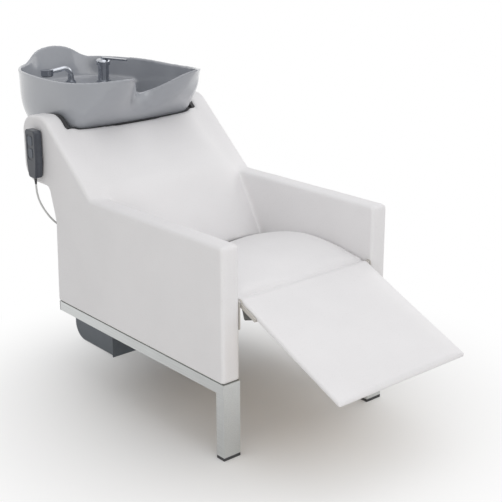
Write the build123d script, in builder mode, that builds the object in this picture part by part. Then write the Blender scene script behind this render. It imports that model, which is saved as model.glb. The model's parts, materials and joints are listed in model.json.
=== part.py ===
from build123d import *
from math import atan2, cos, degrees, pi, radians, sin, sqrt, tan
import os

os.makedirs("parts", exist_ok=True)

# Hair washing bed, in millimetres. Z is up, -Y is the sitter's front, and the origin is on the
# floor in the plane of symmetry, at the centre of the column's base plate. Distances called
# "back" run rearwards from the front face of the side panels.

# Driving dimensions of the body
unit_width = 640.0
panel_thickness = 61.0
column_plate_back = 899.0
rail_top = 236.5
rail_height = 32.0
rail_length = 858.0
leg_depth = 33.0
frame_side_inset = 0.5
frame_wall = 3.0
pad_height = 9.4
plug_depth = 14.0
plug_fit = 0.3
cap_thickness = 3.0
seam_height = 2.5
seam_inset = 3.0
cut_overrun = 1.0
soft_gap = 0.3
cushion_place_shares = (-1.0, -0.94, 0.0, 0.94, 1.0)
cushion_rise_shares = (0.0, 0.12, 1.0, 0.12, 0.0)
cushion_shoulder_shares = (1.0, 0.0, 0.0, 0.0, 1.0)

# Side panel outline: arm, slope and head
arm_height = 640.0
arm_rear_height = 628.0
arm_length = 643.0
head_peak_back = 902.0
head_peak_rise = 224.0
head_peak_height = arm_rear_height + head_peak_rise
head_rear_back = 1034.0
head_rear_height = 835.0
head_underside = 621.0
neck_back = 890.0
waist_back = 858.0
waist_height = 515.0
panel_rear_back = 870.0
arm_corner_radius = 12.0
junction_radius = 22.0
head_peak_radius = 75.0
head_rear_radius = 62.0
head_lower_radius = 58.0
neck_radius = 20.0
waist_radius = 110.0
panel_edge_radius = 8.0
board_inset = 16.0
panel_board_thickness = 24.0

# Leg rest, its hinge and its lifting plate
hinge_back = 9.5
hinge_height = 466.4
leg_rest_drop = 23.3
leg_rest_length = 429.0
leg_rest_half_width = 247.0
leg_rest_half_thickness = 8.5
leg_rest_end_height = 6.0
leg_board_thickness = 8.0
leg_board_setback = 14.0
leg_rest_crown = 4.0
leg_rest_crown_shares = (0.0, 0.7, 1.0, 1.0, 0.8, 0.35)
leg_front_radius = 5.0
leg_edge_drop = 3.0
hinge_plate_thickness = 4.0
hinge_plate_length = 74.0
hinge_eye_radius = 8.0
hinge_flange_width = 46.0
hinge_flange_thickness = 3.0
hinge_pin_radius = 4.0
leaf_side_clearance = 1.0
hinge_shoulder_radius = 6.5
running_fit = 0.05
bracket_thickness = 3.0
hinge_bracket_width = 18.0
hinge_bracket_drop = 80.0
cam_base_radius = 40.0
cam_reach = 72.0
cam_thickness = 8.0
cam_flange_half_width = 30.0
cam_root_start = 16.0
cam_root_end = 98.0
cam_tip_width = 13.0
cam_clearance = 0.3
rod_slope = 18.0

# Push actuator under the seat
roller_radius = 10.0
roller_width = 11.0
roller_axle_radius = 3.0
fork_cheek_thickness = 5.0
fork_cheek_gap = 0.4
fork_radius = 9.0
fork_length = 26.0
fork_bridge_length = 10.0
rod_radius = 7.0
rod_length = 112.0
tube_start = 112.0
tube_length = 122.0
tube_radius = 16.0
gearbox_length = 62.0
gearbox_half_width = 26.0
gearbox_height = 84.0
motor_radius = 19.0
motor_length = 92.0
motor_drop = 40.0
saddle_length = 24.0
saddle_half_width = 30.0
saddle_foot_thickness = 4.0
rear_lug_length = 22.0
rear_lug_width = 14.0
rear_pin_radius = 5.0
rear_ear_thickness = 5.0

# Seat
seat_board_gap_above_rod = 24.0
seat_board_thickness = 15.0
seat_board_start = 76.0
seat_board_end = 486.0
seat_crown = 12.0
seat_nose_underside = 448.0
seat_nose_chamfer = 3.0
seat_edge_radius = 6.0
seat_slot_half_width = 7.0
seat_slot_start = 12.0
seat_slot_end = 74.0
seat_slot_top = 467.0
seat_side_backs = (20.5, 27.0, 60.0, 113.0, 179.0, 247.0, 317.0, 438.0, 495.5)
seat_side_heights = (460.0, 470.0, 479.0, 487.5, 494.0, 493.0, 481.0, 446.0, 426.5)
seat_crown_shares = (0.0, 0.15, 0.45, 0.75, 1.0, 1.0, 1.0, 0.6, 0.2)
seat_bracket_start = 110.0
seat_bracket_end = 460.0
angle_width = 28.0
angle_thickness = 3.0

# Backrest
backrest_thickness = 42.0
backrest_board_thickness = 12.0
backrest_crown = 7.0
backrest_side_backs = (502.5, 534.5, 565.5, 591.0, 612.0, 632.0, 652.0, 677.0, 709.0, 741.0, 799.0, 856.0)
backrest_side_heights = (429.0, 486.0, 541.0, 582.0, 617.0, 644.0, 662.0, 678.5, 699.5, 721.0, 763.5, 813.5)
backrest_crown_shares = (0.2, 0.6, 0.9, 1.0, 1.0, 1.0, 1.0, 1.0, 0.9, 0.8, 0.4, 0.0)
backrest_lower_angle = 60.0
backrest_wing_length = 24.0
backrest_wing_depth = 30.0
backrest_edge_radius = 6.0
backrest_bracket_length = 90.0

# Cross rails, posts and column
cross_rail_depth = 40.0
cross_rail_wall = 2.5
mid_rail_back = 520.0
post_front_back = 810.0
post_size = 40.0
post_wall = 2.5
post_spacing = 220.0
post_top = 684.0
screw_heights = (60.0, 160.0, 300.0, 450.0, 620.0)
base_plate_thickness = 6.0
base_plate_half_width = 140.0
anchor_spacing_x = 120.0
anchor_spacing_y = 130.0
anchor_hole_radius = 5.5
column_width = 310.0
column_rear_back = 1050.0
column_top = 670.0
column_wall = 4.0
column_heel_radius = 60.0
column_corner_radius = 14.0
sheet_thickness = 3.0
sheet_top = 664.0
sheet_side_gap = 0.5
screw_head_radius = 5.0
screw_head_height = 2.6
screw_shank_radius = 2.4
screw_shank_length = 7.0

# Bowl
bowl_wall = 10.0
bowl_floor_height = 747.0
bowl_bottom = 735.0
bowl_widest_back = 983.5
bowl_heights = (735.0, 760.0, 805.0, 870.0, 944.0, 1012.0)
bowl_half_widths = (185.0, 220.0, 238.0, 243.0, 246.0, 249.0)
bowl_front_backs = (915.0, 889.0, 845.0, 764.0, 672.0, 600.0)
bowl_rear_backs = (1225.0, 1272.0, 1312.0, 1342.0, 1360.0, 1372.0)
bowl_front_powers = (3.0, 4.5, 7.5, 4.5, 2.7, 2.3)
bowl_rear_powers = (3.0, 3.0, 3.0, 2.8, 2.6, 2.6)
bowl_outline_points = 36
bowl_inner_edge_radius = 14.0
rim_backs = (560.0, 678.0, 728.0, 776.0, 853.0, 949.0, 1100.0, 1206.0, 1300.0, 1420.0)
rim_heights = (982.0, 978.5, 969.5, 962.0, 954.0, 948.5, 947.5, 944.5, 943.5, 943.5)
guard_half_widths = (0.0, 38.0, 65.0, 85.0, 98.0, 118.0, 145.0)
guard_heights = (988.0, 984.5, 977.0, 966.5, 957.5, 946.5, 943.5)
guard_start_back = 1250.0
bowl_overhead = 60.0
notch_apex_back = 829.0
notch_mouth_back = 685.0
notch_mouth_half_width = 106.0
notch_radius = 34.0
notch_wall = 11.0
notch_lip_backs = (640.0, 685.0, 717.0, 755.0, 793.0, 807.0, 850.0)
notch_lip_heights = (987.0, 974.0, 957.0, 932.0, 911.0, 903.5, 880.0)
deck_rise = 123.0
deck_thickness = 12.0
deck_front_back = 1150.0
deck_edge_radius = 14.0
pocket_front_back = 1164.0
pocket_mouth_half_width = 100.0
pocket_mouth_rear_back = 1196.0
drain_back = 1000.0
drain_hole_radius = 22.0

# Bowl carrier, tilt pivot and lock lever
pivot_back = 951.0
pivot_height = 700.0
tray_thickness = 4.0
tray_front_back = 926.0
tray_rear_back = 1046.0
tray_hole_radius = 30.0
ear_thickness = 4.0
ear_gap = 2.0
ear_width = 46.0
pivot_eye_radius = 20.0
support_plate_thickness = 5.0
support_plate_depth = 84.0
pivot_pin_radius = 5.0
pivot_head_radius = 9.0
pivot_head_thickness = 4.0
lock_hub_radius = 11.0
lock_side_clearance = 2.0
lock_lever_thickness = 6.0
lock_lever_width = 15.0
lock_lever_length = 86.0
lock_lever_angle = -62.0
lock_knob_radius = 9.0
lock_knob_length = 24.0

# Seal between bowl and body
seal_width = 13.0
seal_depth = 12.0
seal_inset = 3.5
seal_front_thickness = 6.5
seal_front_height = 20.0
seal_front_length = 60.0
seal_end_gap = 0.3
seal_gap = 0.8

# Drain, strainer and trap
flange_radius = 34.0
flange_thickness = 3.0
flange_tail_radius = 21.6
flange_tail_length = 24.0
flange_bore_radius = 17.0
flange_seat_radius = 20.5
flange_seat_depth = 1.5
strainer_rim_radius = 20.0
strainer_cup_radius = 16.0
strainer_cup_depth = 14.0
strainer_wall = 1.4
strainer_hole_radius = 2.2
strainer_ring_radius = 10.0
strainer_hole_count = 8
trap_collar_radius = 26.0
trap_collar_height = 16.0
trap_collar_bore_depth = 12.5
trap_tube_radius = 16.0
trap_tube_length = 21.0
trap_bottle_radius = 34.0
trap_bottle_length = 76.0
trap_bottle_rounding = 12.0
trap_hollow_radius = 27.0
trap_outlet_radius = 16.0
trap_outlet_reach = 62.0
trap_outlet_drop = 38.0

# Mixer and hand shower
mixer_x = 108.0
mixer_back = 1194.0
mixer_flange_radius = 26.0
mixer_flange_height = 4.0
mixer_radius = 20.0
mixer_height = 60.0
mixer_shank_radius = 15.0
mixer_shank_length = 34.0
mixer_hole_radius = 15.5
dome_radius = 25.0
dome_height = 20.0
dome_rounding = 9.0
dome_gap = 0.3
dome_slot_width = 11.0
lever_turn = 20.0
lever_length = 104.0
lever_root_width = 17.0
lever_tip_width = 13.0
lever_thickness = 6.0
lever_lift_above_dome = 0.6
lever_tongue_width = 10.0
lever_pin_radius = 2.5
lever_pin_half_length = 14.0
lever_pin_below_top = 8.0
lever_plate_start = 3.5
lever_tongue_half_length = 5.0
dome_slot_clearance = 0.5
lever_lift_limit = 25.0
shower_x = -10.0
shower_back = 1223.0
socket_radius = 18.0
socket_height = 12.0
socket_shank_radius = 15.0
socket_shank_length = 26.0
socket_bore_radius = 11.6
shower_grip_radius = 11.0
shower_grip_below = 78.0
shower_grip_above = 22.0
shower_neck_radius = 8.5
shower_neck_top = 932.0
shower_neck_reach = 84.0
shower_neck_fall = 14.0
shower_neck_bend = 24.0
shower_neck_swing = 18.0
shower_collar_radius = 14.0
shower_collar_height = 4.0
shower_head_radius = 22.0
shower_head_height = 20.0
shower_face_radius = 18.0
shower_face_thickness = 3.0

# Handset on the left panel
handset_back_centre = 933.5
handset_top = 806.0
handset_bottom = 648.0
handset_half_width = 29.5
handset_foot_half_width = 21.0
handset_shoulder = 700.0
handset_gap_to_panel = 4.0
handset_thickness = 28.0
handset_split = 14.0
handset_corner_radius = 11.0
handset_edge_radius = 4.0
keypad_half_width = 17.0
keypad_low = 708.0
keypad_high = 792.0
keypad_depth = 1.2
keypad_corner_radius = 9.0
button_width = 26.0
button_height = 30.0
button_corner_radius = 8.0
button_rise = 1.6
button_well_depth = 4.0
button_gap = 0.25
button_travel = 1.2
button_up_height = 771.0
button_down_height = 731.0
holder_plate_thickness = 3.0
holder_plate_width = 30.0
holder_plate_low = 716.0
holder_plate_high = 776.0
hook_width = 14.0
hook_low = 730.0
hook_floor = 742.0
hook_top = 756.0
hook_reach = 7.5
hook_lip = 3.0
hook_gap = 0.5
hook_clearance = 1.0
handset_lift = 30.0
relief_top_radius = 5.5
relief_end_radius = 3.2
relief_length = 22.0
relief_depth_from_panel = 19.0
cable_radius = 2.5

# Services
control_box_half_width = 62.0
control_box_back = 504.0
control_box_depth = 84.0
control_box_height = 42.0
control_box_radius = 5.0
inlet_width = 27.0
inlet_height = 20.0
inlet_depth = 16.0
valve_spacing = 120.0
valve_collar_radius = 13.0
valve_collar_height = 4.0
valve_inlet_radius = 7.55
valve_knob_height = 40.0
valve_radius = 9.0
valve_height = 62.0
valve_thread_radius = 8.3
valve_thread_length = 12.0
valve_knob_radius = 14.0
valve_knob_length = 12.0
waste_rear_of_centre = 46.0
waste_collar_width = 5.0
waste_bore_radius = 20.1
waste_wall = 3.0
waste_height = 50.0
gland_flange_radius = 9.0
gland_flange_thickness = 4.0
gland_end_radius = 4.0
gland_length = 10.0
gland_tail_radius = 4.9
gland_tail_length = 9.0
gland_side = 212.0
gland_height = 456.0
cable_side_reaches = (339.0, 339.0, 332.0, 313.0, 280.0, 240.0, 212.0, 212.0)
cable_backs = (933.5, 933.5, 926.0, 904.0, 893.0, 876.0, 852.0, 824.0)
cable_heights = (626.0, 600.0, 560.0, 514.0, 478.0, 461.0, 456.0, 456.0)
bend_share = 0.45

# Values worked out from the driving dimensions
front_y = -column_plate_back
deck_height = bowl_floor_height + deck_rise
pocket_roof = deck_height - deck_thickness
half_width = unit_width / 2
panel_inner_x = half_width - panel_thickness
rail_underside = rail_top - rail_height
panel_bottom = rail_top + seam_height
frame_outer_x = half_width - frame_side_inset
frame_inner_x = panel_inner_x + frame_side_inset
frame_width = frame_outer_x - frame_inner_x
inner_half = panel_inner_x - soft_gap
hinge_y = front_y + hinge_back
slope_angle = degrees(atan2(head_peak_height - arm_rear_height, head_peak_back - arm_length))
rest_angle = 90.0 - leg_rest_drop
roller_offset = roller_radius + cam_clearance
roller_place = cam_reach + roller_offset - cam_base_radius * radians(rest_angle)
plate_length = 2 * (column_plate_back - post_front_back)


def side(back, height):
    """A point of the side view, from its distance behind the front face and its height."""
    return (front_y + back, height)


def side_plane(x):
    """The side view's plane at x, with its first axis to the rear and its second one up."""
    return Plane(origin=(x, 0, 0), x_dir=(0, 1, 0), z_dir=(1, 0, 0))


def leg_plane(x):
    """The leg rest's side view: origin on the hinge axis, outwards along it, then up."""
    outward = (0, -cos(radians(leg_rest_drop)), -sin(radians(leg_rest_drop)))
    return Plane(origin=(x, hinge_y, hinge_height), x_dir=outward, z_dir=(-1, 0, 0))


def rod_plane(x):
    """The actuator's side view: origin on the hinge axis, rearwards along the rod, then up."""
    along = (0, cos(radians(rod_slope)), -sin(radians(rod_slope)))
    return Plane(origin=(x, hinge_y, hinge_height), x_dir=along, z_dir=(1, 0, 0))


def slope_plane(x):
    """The panels' sloped edge in side view: origin at the arm junction, up the slope."""
    along = (0, cos(radians(slope_angle)), sin(radians(slope_angle)))
    origin = (x, front_y + arm_length, arm_rear_height)
    return Plane(origin=origin, x_dir=along, z_dir=(1, 0, 0))


def finish(piece, name):
    """Labels a finished piece and writes its STEP file."""
    piece.part.label = name
    export_step(piece.part, "parts/" + name + ".step")


def panel_outline_points():
    """The side panel's outline with its corner radii."""
    corners = (
        (side(0, panel_bottom), 0),
        (side(0, arm_height), arm_corner_radius),
        (side(arm_length, arm_rear_height), junction_radius),
        (side(head_peak_back, head_peak_height), head_peak_radius),
        (side(head_rear_back, head_rear_height), head_rear_radius),
        (side(head_rear_back, head_underside), head_lower_radius),
        (side(neck_back, head_underside), neck_radius),
        (side(waist_back, waist_height), waist_radius),
        (side(panel_rear_back, panel_bottom), 0),
    )
    return [corner[0] for corner in corners], [corner[1] for corner in corners]


outline_points, outline_radii = panel_outline_points()

# Side frames: a rail under the panel and a front leg, mitred from one rectangular tube
for sign, name in ((-1, "side_frame_left"), (1, "side_frame_right")):
    with BuildPart() as side_frame:
        with BuildSketch(side_plane(sign * (frame_inner_x + frame_width / 2))):
            with BuildLine():
                Polyline(
                    side(0, pad_height),
                    side(0, rail_top),
                    side(rail_length, rail_top),
                    side(rail_length, rail_underside),
                    side(leg_depth, rail_underside),
                    side(leg_depth, pad_height),
                    close=True,
                )
            make_face()
        extrude(amount=frame_width / 2, both=True)
        with BuildSketch(side_plane(sign * (frame_inner_x + frame_width / 2))):
            with BuildLine():
                Polyline(
                    side(frame_wall, pad_height - cut_overrun),
                    side(frame_wall, rail_top - frame_wall),
                    side(rail_length + cut_overrun, rail_top - frame_wall),
                    side(rail_length + cut_overrun, rail_underside + frame_wall),
                    side(leg_depth - frame_wall, rail_underside + frame_wall),
                    side(leg_depth - frame_wall, pad_height - cut_overrun),
                    close=True,
                )
            make_face()
        extrude(amount=frame_width / 2 - frame_wall, both=True, mode=Mode.SUBTRACT)
    finish(side_frame, name)

# Foot pads: a plate under each leg with a plug inside the tube
with BuildPart() as foot_pads:
    for sign in (-1, 1):
        centre_x = sign * (frame_inner_x + frame_width / 2)
        with BuildSketch():
            with Locations((centre_x, front_y + leg_depth / 2)):
                Rectangle(frame_width, leg_depth)
        extrude(amount=pad_height)
        with BuildSketch(Plane.XY.offset(pad_height)):
            with Locations((centre_x, front_y + leg_depth / 2)):
                Rectangle(
                    frame_width - 2 * frame_wall - 2 * plug_fit,
                    leg_depth - 2 * frame_wall - 2 * plug_fit,
                )
        extrude(amount=plug_depth)
finish(foot_pads, "foot_pads")

# End caps of the rails, at the rear
with BuildPart() as rail_end_caps:
    for sign in (-1, 1):
        centre_x = sign * (frame_inner_x + frame_width / 2)
        cap_plane = Plane(
            origin=(centre_x, front_y + rail_length, rail_top - rail_height / 2),
            x_dir=(-1, 0, 0),
            z_dir=(0, 1, 0),
        )
        with BuildSketch(cap_plane):
            Rectangle(frame_width, rail_height)
        extrude(amount=cap_thickness)
        with BuildSketch(cap_plane):
            Rectangle(
                frame_width - 2 * frame_wall - 2 * plug_fit,
                rail_height - 2 * frame_wall - 2 * plug_fit,
            )
        extrude(amount=-plug_depth)
finish(rail_end_caps, "rail_end_caps")

# Dark strips between the rails and the panels
with BuildPart() as seam_strips:
    for sign in (-1, 1):
        with BuildSketch(Plane.XY.offset(rail_top)):
            with Locations(
                (sign * (panel_inner_x + panel_thickness / 2), front_y + rail_length / 2)
            ):
                Rectangle(panel_thickness - 2 * seam_inset, rail_length - 2 * seam_inset)
        extrude(amount=seam_height)
finish(seam_strips, "seam_strips")

# Side panels: an upholstered cover with a board in its pocket, open at the bottom
for sign, word in ((-1, "left"), (1, "right")):
    centre_x = sign * (panel_inner_x + panel_thickness / 2)
    with BuildPart() as panel_cover:
        with BuildSketch(side_plane(centre_x)):
            with BuildLine():
                FilletPolyline(*outline_points, radius=outline_radii, close=True)
            make_face()
        extrude(amount=panel_thickness / 2, both=True)
        flat_faces = panel_cover.faces().filter_by(Axis.X)
        rounded = flat_faces.edges().filter_by(
            lambda edge: edge.center().Z > panel_bottom + cut_overrun
        )
        fillet(rounded, panel_edge_radius)
        with BuildSketch(side_plane(centre_x)):
            with BuildLine():
                FilletPolyline(*outline_points, radius=outline_radii, close=True)
            make_face()
            offset(amount=soft_gap - board_inset)
            with BuildLine():
                Polyline(
                    side(board_inset - soft_gap, panel_bottom - cut_overrun),
                    side(board_inset - soft_gap, panel_bottom + 2 * board_inset),
                    side(panel_rear_back - 2 * board_inset, panel_bottom + 2 * board_inset),
                    side(panel_rear_back - 2 * board_inset, panel_bottom - cut_overrun),
                    close=True,
                )
            make_face()
        extrude(
            amount=panel_board_thickness / 2 + soft_gap, both=True, mode=Mode.SUBTRACT
        )
    finish(panel_cover, "side_panel_cover_" + word)
    with BuildPart() as panel_board:
        with BuildSketch(side_plane(centre_x)):
            with BuildLine():
                FilletPolyline(*outline_points, radius=outline_radii, close=True)
            make_face()
            offset(amount=-board_inset)
            with BuildLine():
                Polyline(
                    side(board_inset, panel_bottom),
                    side(board_inset, panel_bottom + 2 * board_inset),
                    side(
                        panel_rear_back - 2 * board_inset - soft_gap,
                        panel_bottom + 2 * board_inset,
                    ),
                    side(panel_rear_back - 2 * board_inset - soft_gap, panel_bottom),
                    close=True,
                )
            make_face()
        extrude(amount=panel_board_thickness / 2, both=True)
    finish(panel_board, "side_panel_board_" + word)

# Cross rails between the side frames
rail_places = (
    ("mid_cross_rail", mid_rail_back),
    ("rear_cross_rail", post_front_back - cross_rail_depth),
)
for name, back in rail_places:
    with BuildPart() as cross_rail:
        rail_centre = (
            -frame_inner_x,
            front_y + back + cross_rail_depth / 2,
            rail_top - rail_height / 2,
        )
        with BuildSketch(Plane(origin=rail_centre, x_dir=(0, 1, 0), z_dir=(1, 0, 0))):
            Rectangle(cross_rail_depth, rail_height)
            Rectangle(
                cross_rail_depth - 2 * cross_rail_wall,
                rail_height - 2 * cross_rail_wall,
                mode=Mode.SUBTRACT,
            )
        extrude(amount=2 * frame_inner_x)
    finish(cross_rail, name)

# Base plate with its anchor holes and the holes of the supply and waste pipes
waste_radius = waste_bore_radius + waste_wall
with BuildPart() as base_plate:
    with BuildSketch():
        Rectangle(2 * base_plate_half_width, plate_length)
        with GridLocations(anchor_spacing_x, anchor_spacing_y, 2, 2):
            Circle(anchor_hole_radius, mode=Mode.SUBTRACT)
        with Locations((-valve_spacing / 2, 0), (valve_spacing / 2, 0)):
            Circle(valve_radius + running_fit, mode=Mode.SUBTRACT)
        with Locations((0, waste_rear_of_centre)):
            Circle(waste_radius + running_fit, mode=Mode.SUBTRACT)
    extrude(amount=base_plate_thickness)
finish(base_plate, "base_plate")

# Posts that carry the bowl
post_y = front_y + post_front_back + post_size / 2
with BuildPart() as rear_posts:
    for sign in (-1, 1):
        with BuildSketch(Plane.XY.offset(base_plate_thickness)):
            with Locations((sign * post_spacing / 2, post_y)):
                Rectangle(post_size, post_size)
                Rectangle(
                    post_size - 2 * post_wall,
                    post_size - 2 * post_wall,
                    mode=Mode.SUBTRACT,
                )
        extrude(amount=post_top - base_plate_thickness)
        for height in screw_heights:
            with Locations((sign * post_spacing / 2, front_y + post_front_back, height)):
                Cylinder(
                    screw_shank_radius + running_fit,
                    2 * (post_wall + cut_overrun),
                    rotation=(90, 0, 0),
                    mode=Mode.SUBTRACT,
                )
finish(rear_posts, "rear_posts")

# Sheet that closes the body at the rear, and the front plate of the column
sheet_front = front_y + post_front_back - sheet_thickness
with BuildPart() as back_sheet:
    with BuildSketch(Plane(origin=(0, sheet_front, 0), x_dir=(-1, 0, 0), z_dir=(0, 1, 0))):
        with Locations((0, (panel_bottom + sheet_top) / 2)):
            Rectangle(2 * (panel_inner_x - sheet_side_gap), sheet_top - panel_bottom)
        for height in screw_heights:
            if height > panel_bottom:
                with Locations((-post_spacing / 2, height), (post_spacing / 2, height)):
                    Circle(screw_shank_radius + running_fit, mode=Mode.SUBTRACT)
        with Locations((gland_side, gland_height)):
            Circle(gland_tail_radius + running_fit, mode=Mode.SUBTRACT)
    extrude(amount=sheet_thickness)
finish(back_sheet, "back_sheet")

with BuildPart() as column_front_plate:
    plate_top = rail_underside - seam_height
    with BuildSketch(Plane(origin=(0, sheet_front, 0), x_dir=(-1, 0, 0), z_dir=(0, 1, 0))):
        with Locations((0, plate_top / 2)):
            Rectangle(column_width, plate_top)
        for height in screw_heights:
            if height < rail_underside:
                with Locations((-post_spacing / 2, height), (post_spacing / 2, height)):
                    Circle(screw_shank_radius + running_fit, mode=Mode.SUBTRACT)
    extrude(amount=sheet_thickness)
finish(column_front_plate, "column_front_plate")

with BuildPart() as cover_screws:
    for sign in (-1, 1):
        for height in screw_heights:
            screw_plane = Plane(
                origin=(sign * post_spacing / 2, sheet_front, height),
                x_dir=(1, 0, 0),
                z_dir=(0, -1, 0),
            )
            with BuildSketch(screw_plane):
                Circle(screw_head_radius)
            extrude(amount=screw_head_height)
            with BuildSketch(screw_plane):
                Circle(screw_shank_radius)
            extrude(amount=-screw_shank_length)
finish(cover_screws, "cover_screws")

# Column cover: sides and rear in one, with a rounded heel
with BuildPart() as column_cover:
    with BuildSketch(side_plane(0)):
        with BuildLine():
            FilletPolyline(
                side(post_front_back, 0),
                side(post_front_back, column_top),
                side(column_rear_back, column_top),
                side(column_rear_back, 0),
                radius=(0, 0, 0, column_heel_radius),
                close=True,
            )
        make_face()
    extrude(amount=column_width / 2, both=True)
    rear_edges = column_cover.faces().filter_by(Axis.X).edges().filter_by(
        lambda edge: edge.center().Y > front_y + column_rear_back - column_heel_radius
    )
    fillet(rear_edges, column_corner_radius)
with BuildPart() as column_space:
    with BuildSketch(side_plane(0)):
        with BuildLine():
            FilletPolyline(
                side(post_front_back - cut_overrun, -cut_overrun),
                side(post_front_back - cut_overrun, column_top + cut_overrun),
                side(column_rear_back - column_wall, column_top + cut_overrun),
                side(column_rear_back - column_wall, column_wall),
                side(post_front_back + plate_length + soft_gap, column_wall),
                side(post_front_back + plate_length + soft_gap, -cut_overrun),
                radius=(0, 0, 0, column_heel_radius - column_wall, 0, 0),
                close=True,
            )
        make_face()
    extrude(amount=column_width / 2 - column_wall, both=True)
    rear_edges = column_space.faces().filter_by(Axis.X).edges().filter_by(
        lambda edge: edge.center().Y > front_y + column_rear_back - column_heel_radius
    )
    fillet(rear_edges, column_corner_radius - column_wall)
with column_cover:
    add(column_space.part, mode=Mode.SUBTRACT)
finish(column_cover, "column_cover")

# Seat board on its slope over the actuator
board_underside = seat_board_gap_above_rod - cam_base_radius
board_top = board_underside + seat_board_thickness


def rod_height(back, level):
    """Height of a line that runs along the rod at a level above the hinge, at a distance back."""
    fall = tan(radians(rod_slope)) * (back - hinge_back)
    return hinge_height - fall + level / cos(radians(rod_slope))


with BuildPart() as seat_board:
    with BuildSketch(side_plane(0)):
        with BuildLine():
            Polyline(
                side(seat_board_start, rod_height(seat_board_start, board_underside)),
                side(seat_board_start, rod_height(seat_board_start, board_top)),
                side(seat_board_end, rod_height(seat_board_end, board_top)),
                side(seat_board_end, rod_height(seat_board_end, board_underside)),
                close=True,
            )
        make_face()
    extrude(amount=inner_half, both=True)
finish(seat_board, "seat_board")

# Seat cushion: crowned, with a waterfall front and a slot for the lifting plate
seat_rear_back = seat_side_backs[-1]
with BuildPart() as seat_cushion:
    for place, rise_share, drop_share in zip(
        cushion_place_shares, cushion_rise_shares, cushion_shoulder_shares
    ):
        rise = seat_crown * rise_share
        drop = seat_edge_radius * drop_share
        with BuildSketch(side_plane(place * inner_half)):
            with BuildLine():
                crest = [
                    side(back, height + rise * share - drop)
                    for back, height, share in zip(
                        seat_side_backs, seat_side_heights, seat_crown_shares
                    )
                ]
                Spline(*crest)
                Polyline(
                    crest[-1],
                    side(seat_rear_back, rod_height(seat_rear_back, board_top)),
                    side(seat_board_start, rod_height(seat_board_start, board_top)),
                    side(seat_board_start - seat_nose_chamfer, seat_nose_underside),
                    side(seat_side_backs[0] + seat_nose_chamfer, seat_nose_underside),
                    side(seat_side_backs[0], seat_nose_underside + seat_nose_chamfer),
                    crest[0],
                )
            make_face()
    loft()
    with BuildSketch(side_plane(0)):
        with BuildLine():
            Polyline(
                side(seat_slot_start, seat_nose_underside - seat_slot_end),
                side(seat_slot_start, seat_slot_top),
                side(seat_slot_end, seat_slot_top),
                side(seat_slot_end, seat_nose_underside - seat_slot_end),
                close=True,
            )
        make_face()
    extrude(amount=seat_slot_half_width, both=True, mode=Mode.SUBTRACT)
finish(seat_cushion, "seat_cushion")


def backrest_layer(depth):
    """Low end, corner and top end of the layer at a depth behind the backrest's front."""
    low_turn = radians(backrest_lower_angle)
    top_turn = radians(slope_angle)
    low_back = backrest_side_backs[0] + depth * sin(low_turn)
    low_height = backrest_side_heights[0] - depth * cos(low_turn)
    along = backrest_wing_length
    top_back = backrest_side_backs[-1] - along * cos(top_turn) + depth * sin(top_turn)
    top_height = backrest_side_heights[-1] - along * sin(top_turn) - depth * cos(top_turn)
    across = (top_back - low_back) * sin(top_turn) - (top_height - low_height) * cos(top_turn)
    reach = across / sin(top_turn - low_turn)
    corner = side(low_back + reach * cos(low_turn), low_height + reach * sin(low_turn))
    return side(low_back, low_height), corner, side(top_back, top_height)


def bowl_section(height, inset):
    """Outline of the bowl at a height, drawn in by an inset, as points in plan."""
    last = len(bowl_heights) - 1
    index = 0
    while index < last - 1 and height > bowl_heights[index + 1]:
        index = index + 1
    span = bowl_heights[index + 1] - bowl_heights[index]
    share = (min(height, bowl_heights[last]) - bowl_heights[index]) / span

    def blended(values):
        return values[index] + share * (values[index + 1] - values[index])

    half_wide = blended(bowl_half_widths) - inset
    front = bowl_widest_back - blended(bowl_front_backs) - inset
    rear = blended(bowl_rear_backs) - bowl_widest_back - inset
    points = []
    for step in range(bowl_outline_points):
        turn = 2 * pi * step / bowl_outline_points
        reach = rear if sin(turn) > 0 else front
        power = blended(bowl_rear_powers) if sin(turn) > 0 else blended(bowl_front_powers)
        across = abs(cos(turn)) / half_wide
        along = abs(sin(turn)) / reach
        radius = (across**power + along**power) ** (-1 / power)
        points.append(
            (radius * cos(turn), front_y + bowl_widest_back + radius * sin(turn))
        )
    return points


# Room that the bowl needs in the backrest and in its seal
seal_reach = seal_gap + seal_front_thickness
room_parts = []
for room_inset in (seal_gap, seal_reach, seal_reach + soft_gap):
    with BuildPart() as bowl_room:
        for height in bowl_heights:
            with BuildSketch(Plane.XY.offset(height)):
                with BuildLine():
                    Spline(*bowl_section(height, -room_inset), periodic=True)
                make_face()
        loft()
    room_parts.append(bowl_room)
seal_inner_room, seal_outer_room, cushion_room = room_parts

# Backrest board and cushion
board_depth = backrest_thickness + backrest_board_thickness
with BuildPart() as backrest_board:
    with BuildSketch(side_plane(0)):
        with BuildLine():
            near_layer = backrest_layer(backrest_thickness)
            far_layer = backrest_layer(board_depth)
            Polyline(*near_layer, *reversed(far_layer), close=True)
        make_face()
    extrude(amount=inner_half, both=True)
finish(backrest_board, "backrest_board")

with BuildPart() as backrest_cushion:
    for place, rise_share, drop_share in zip(
        cushion_place_shares, cushion_rise_shares, cushion_shoulder_shares
    ):
        rise = backrest_crown * rise_share
        drop = backrest_edge_radius * drop_share
        with BuildSketch(side_plane(place * inner_half)):
            with BuildLine():
                front = [
                    side(
                        back - (rise * share - drop) * sin(radians(slope_angle)),
                        height + (rise * share - drop) * cos(radians(slope_angle)),
                    )
                    for back, height, share in zip(
                        backrest_side_backs, backrest_side_heights, backrest_crown_shares
                    )
                ]
                Spline(*front)
                low_end, corner, top_end = backrest_layer(backrest_thickness)
                wing_end = side(
                    backrest_side_backs[-1] + backrest_wing_depth * sin(radians(slope_angle)),
                    backrest_side_heights[-1] - backrest_wing_depth * cos(radians(slope_angle)),
                )
                Polyline(front[-1], wing_end, top_end, corner, low_end, front[0])
            make_face()
    loft()
    add(cushion_room.part, mode=Mode.SUBTRACT)
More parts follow.
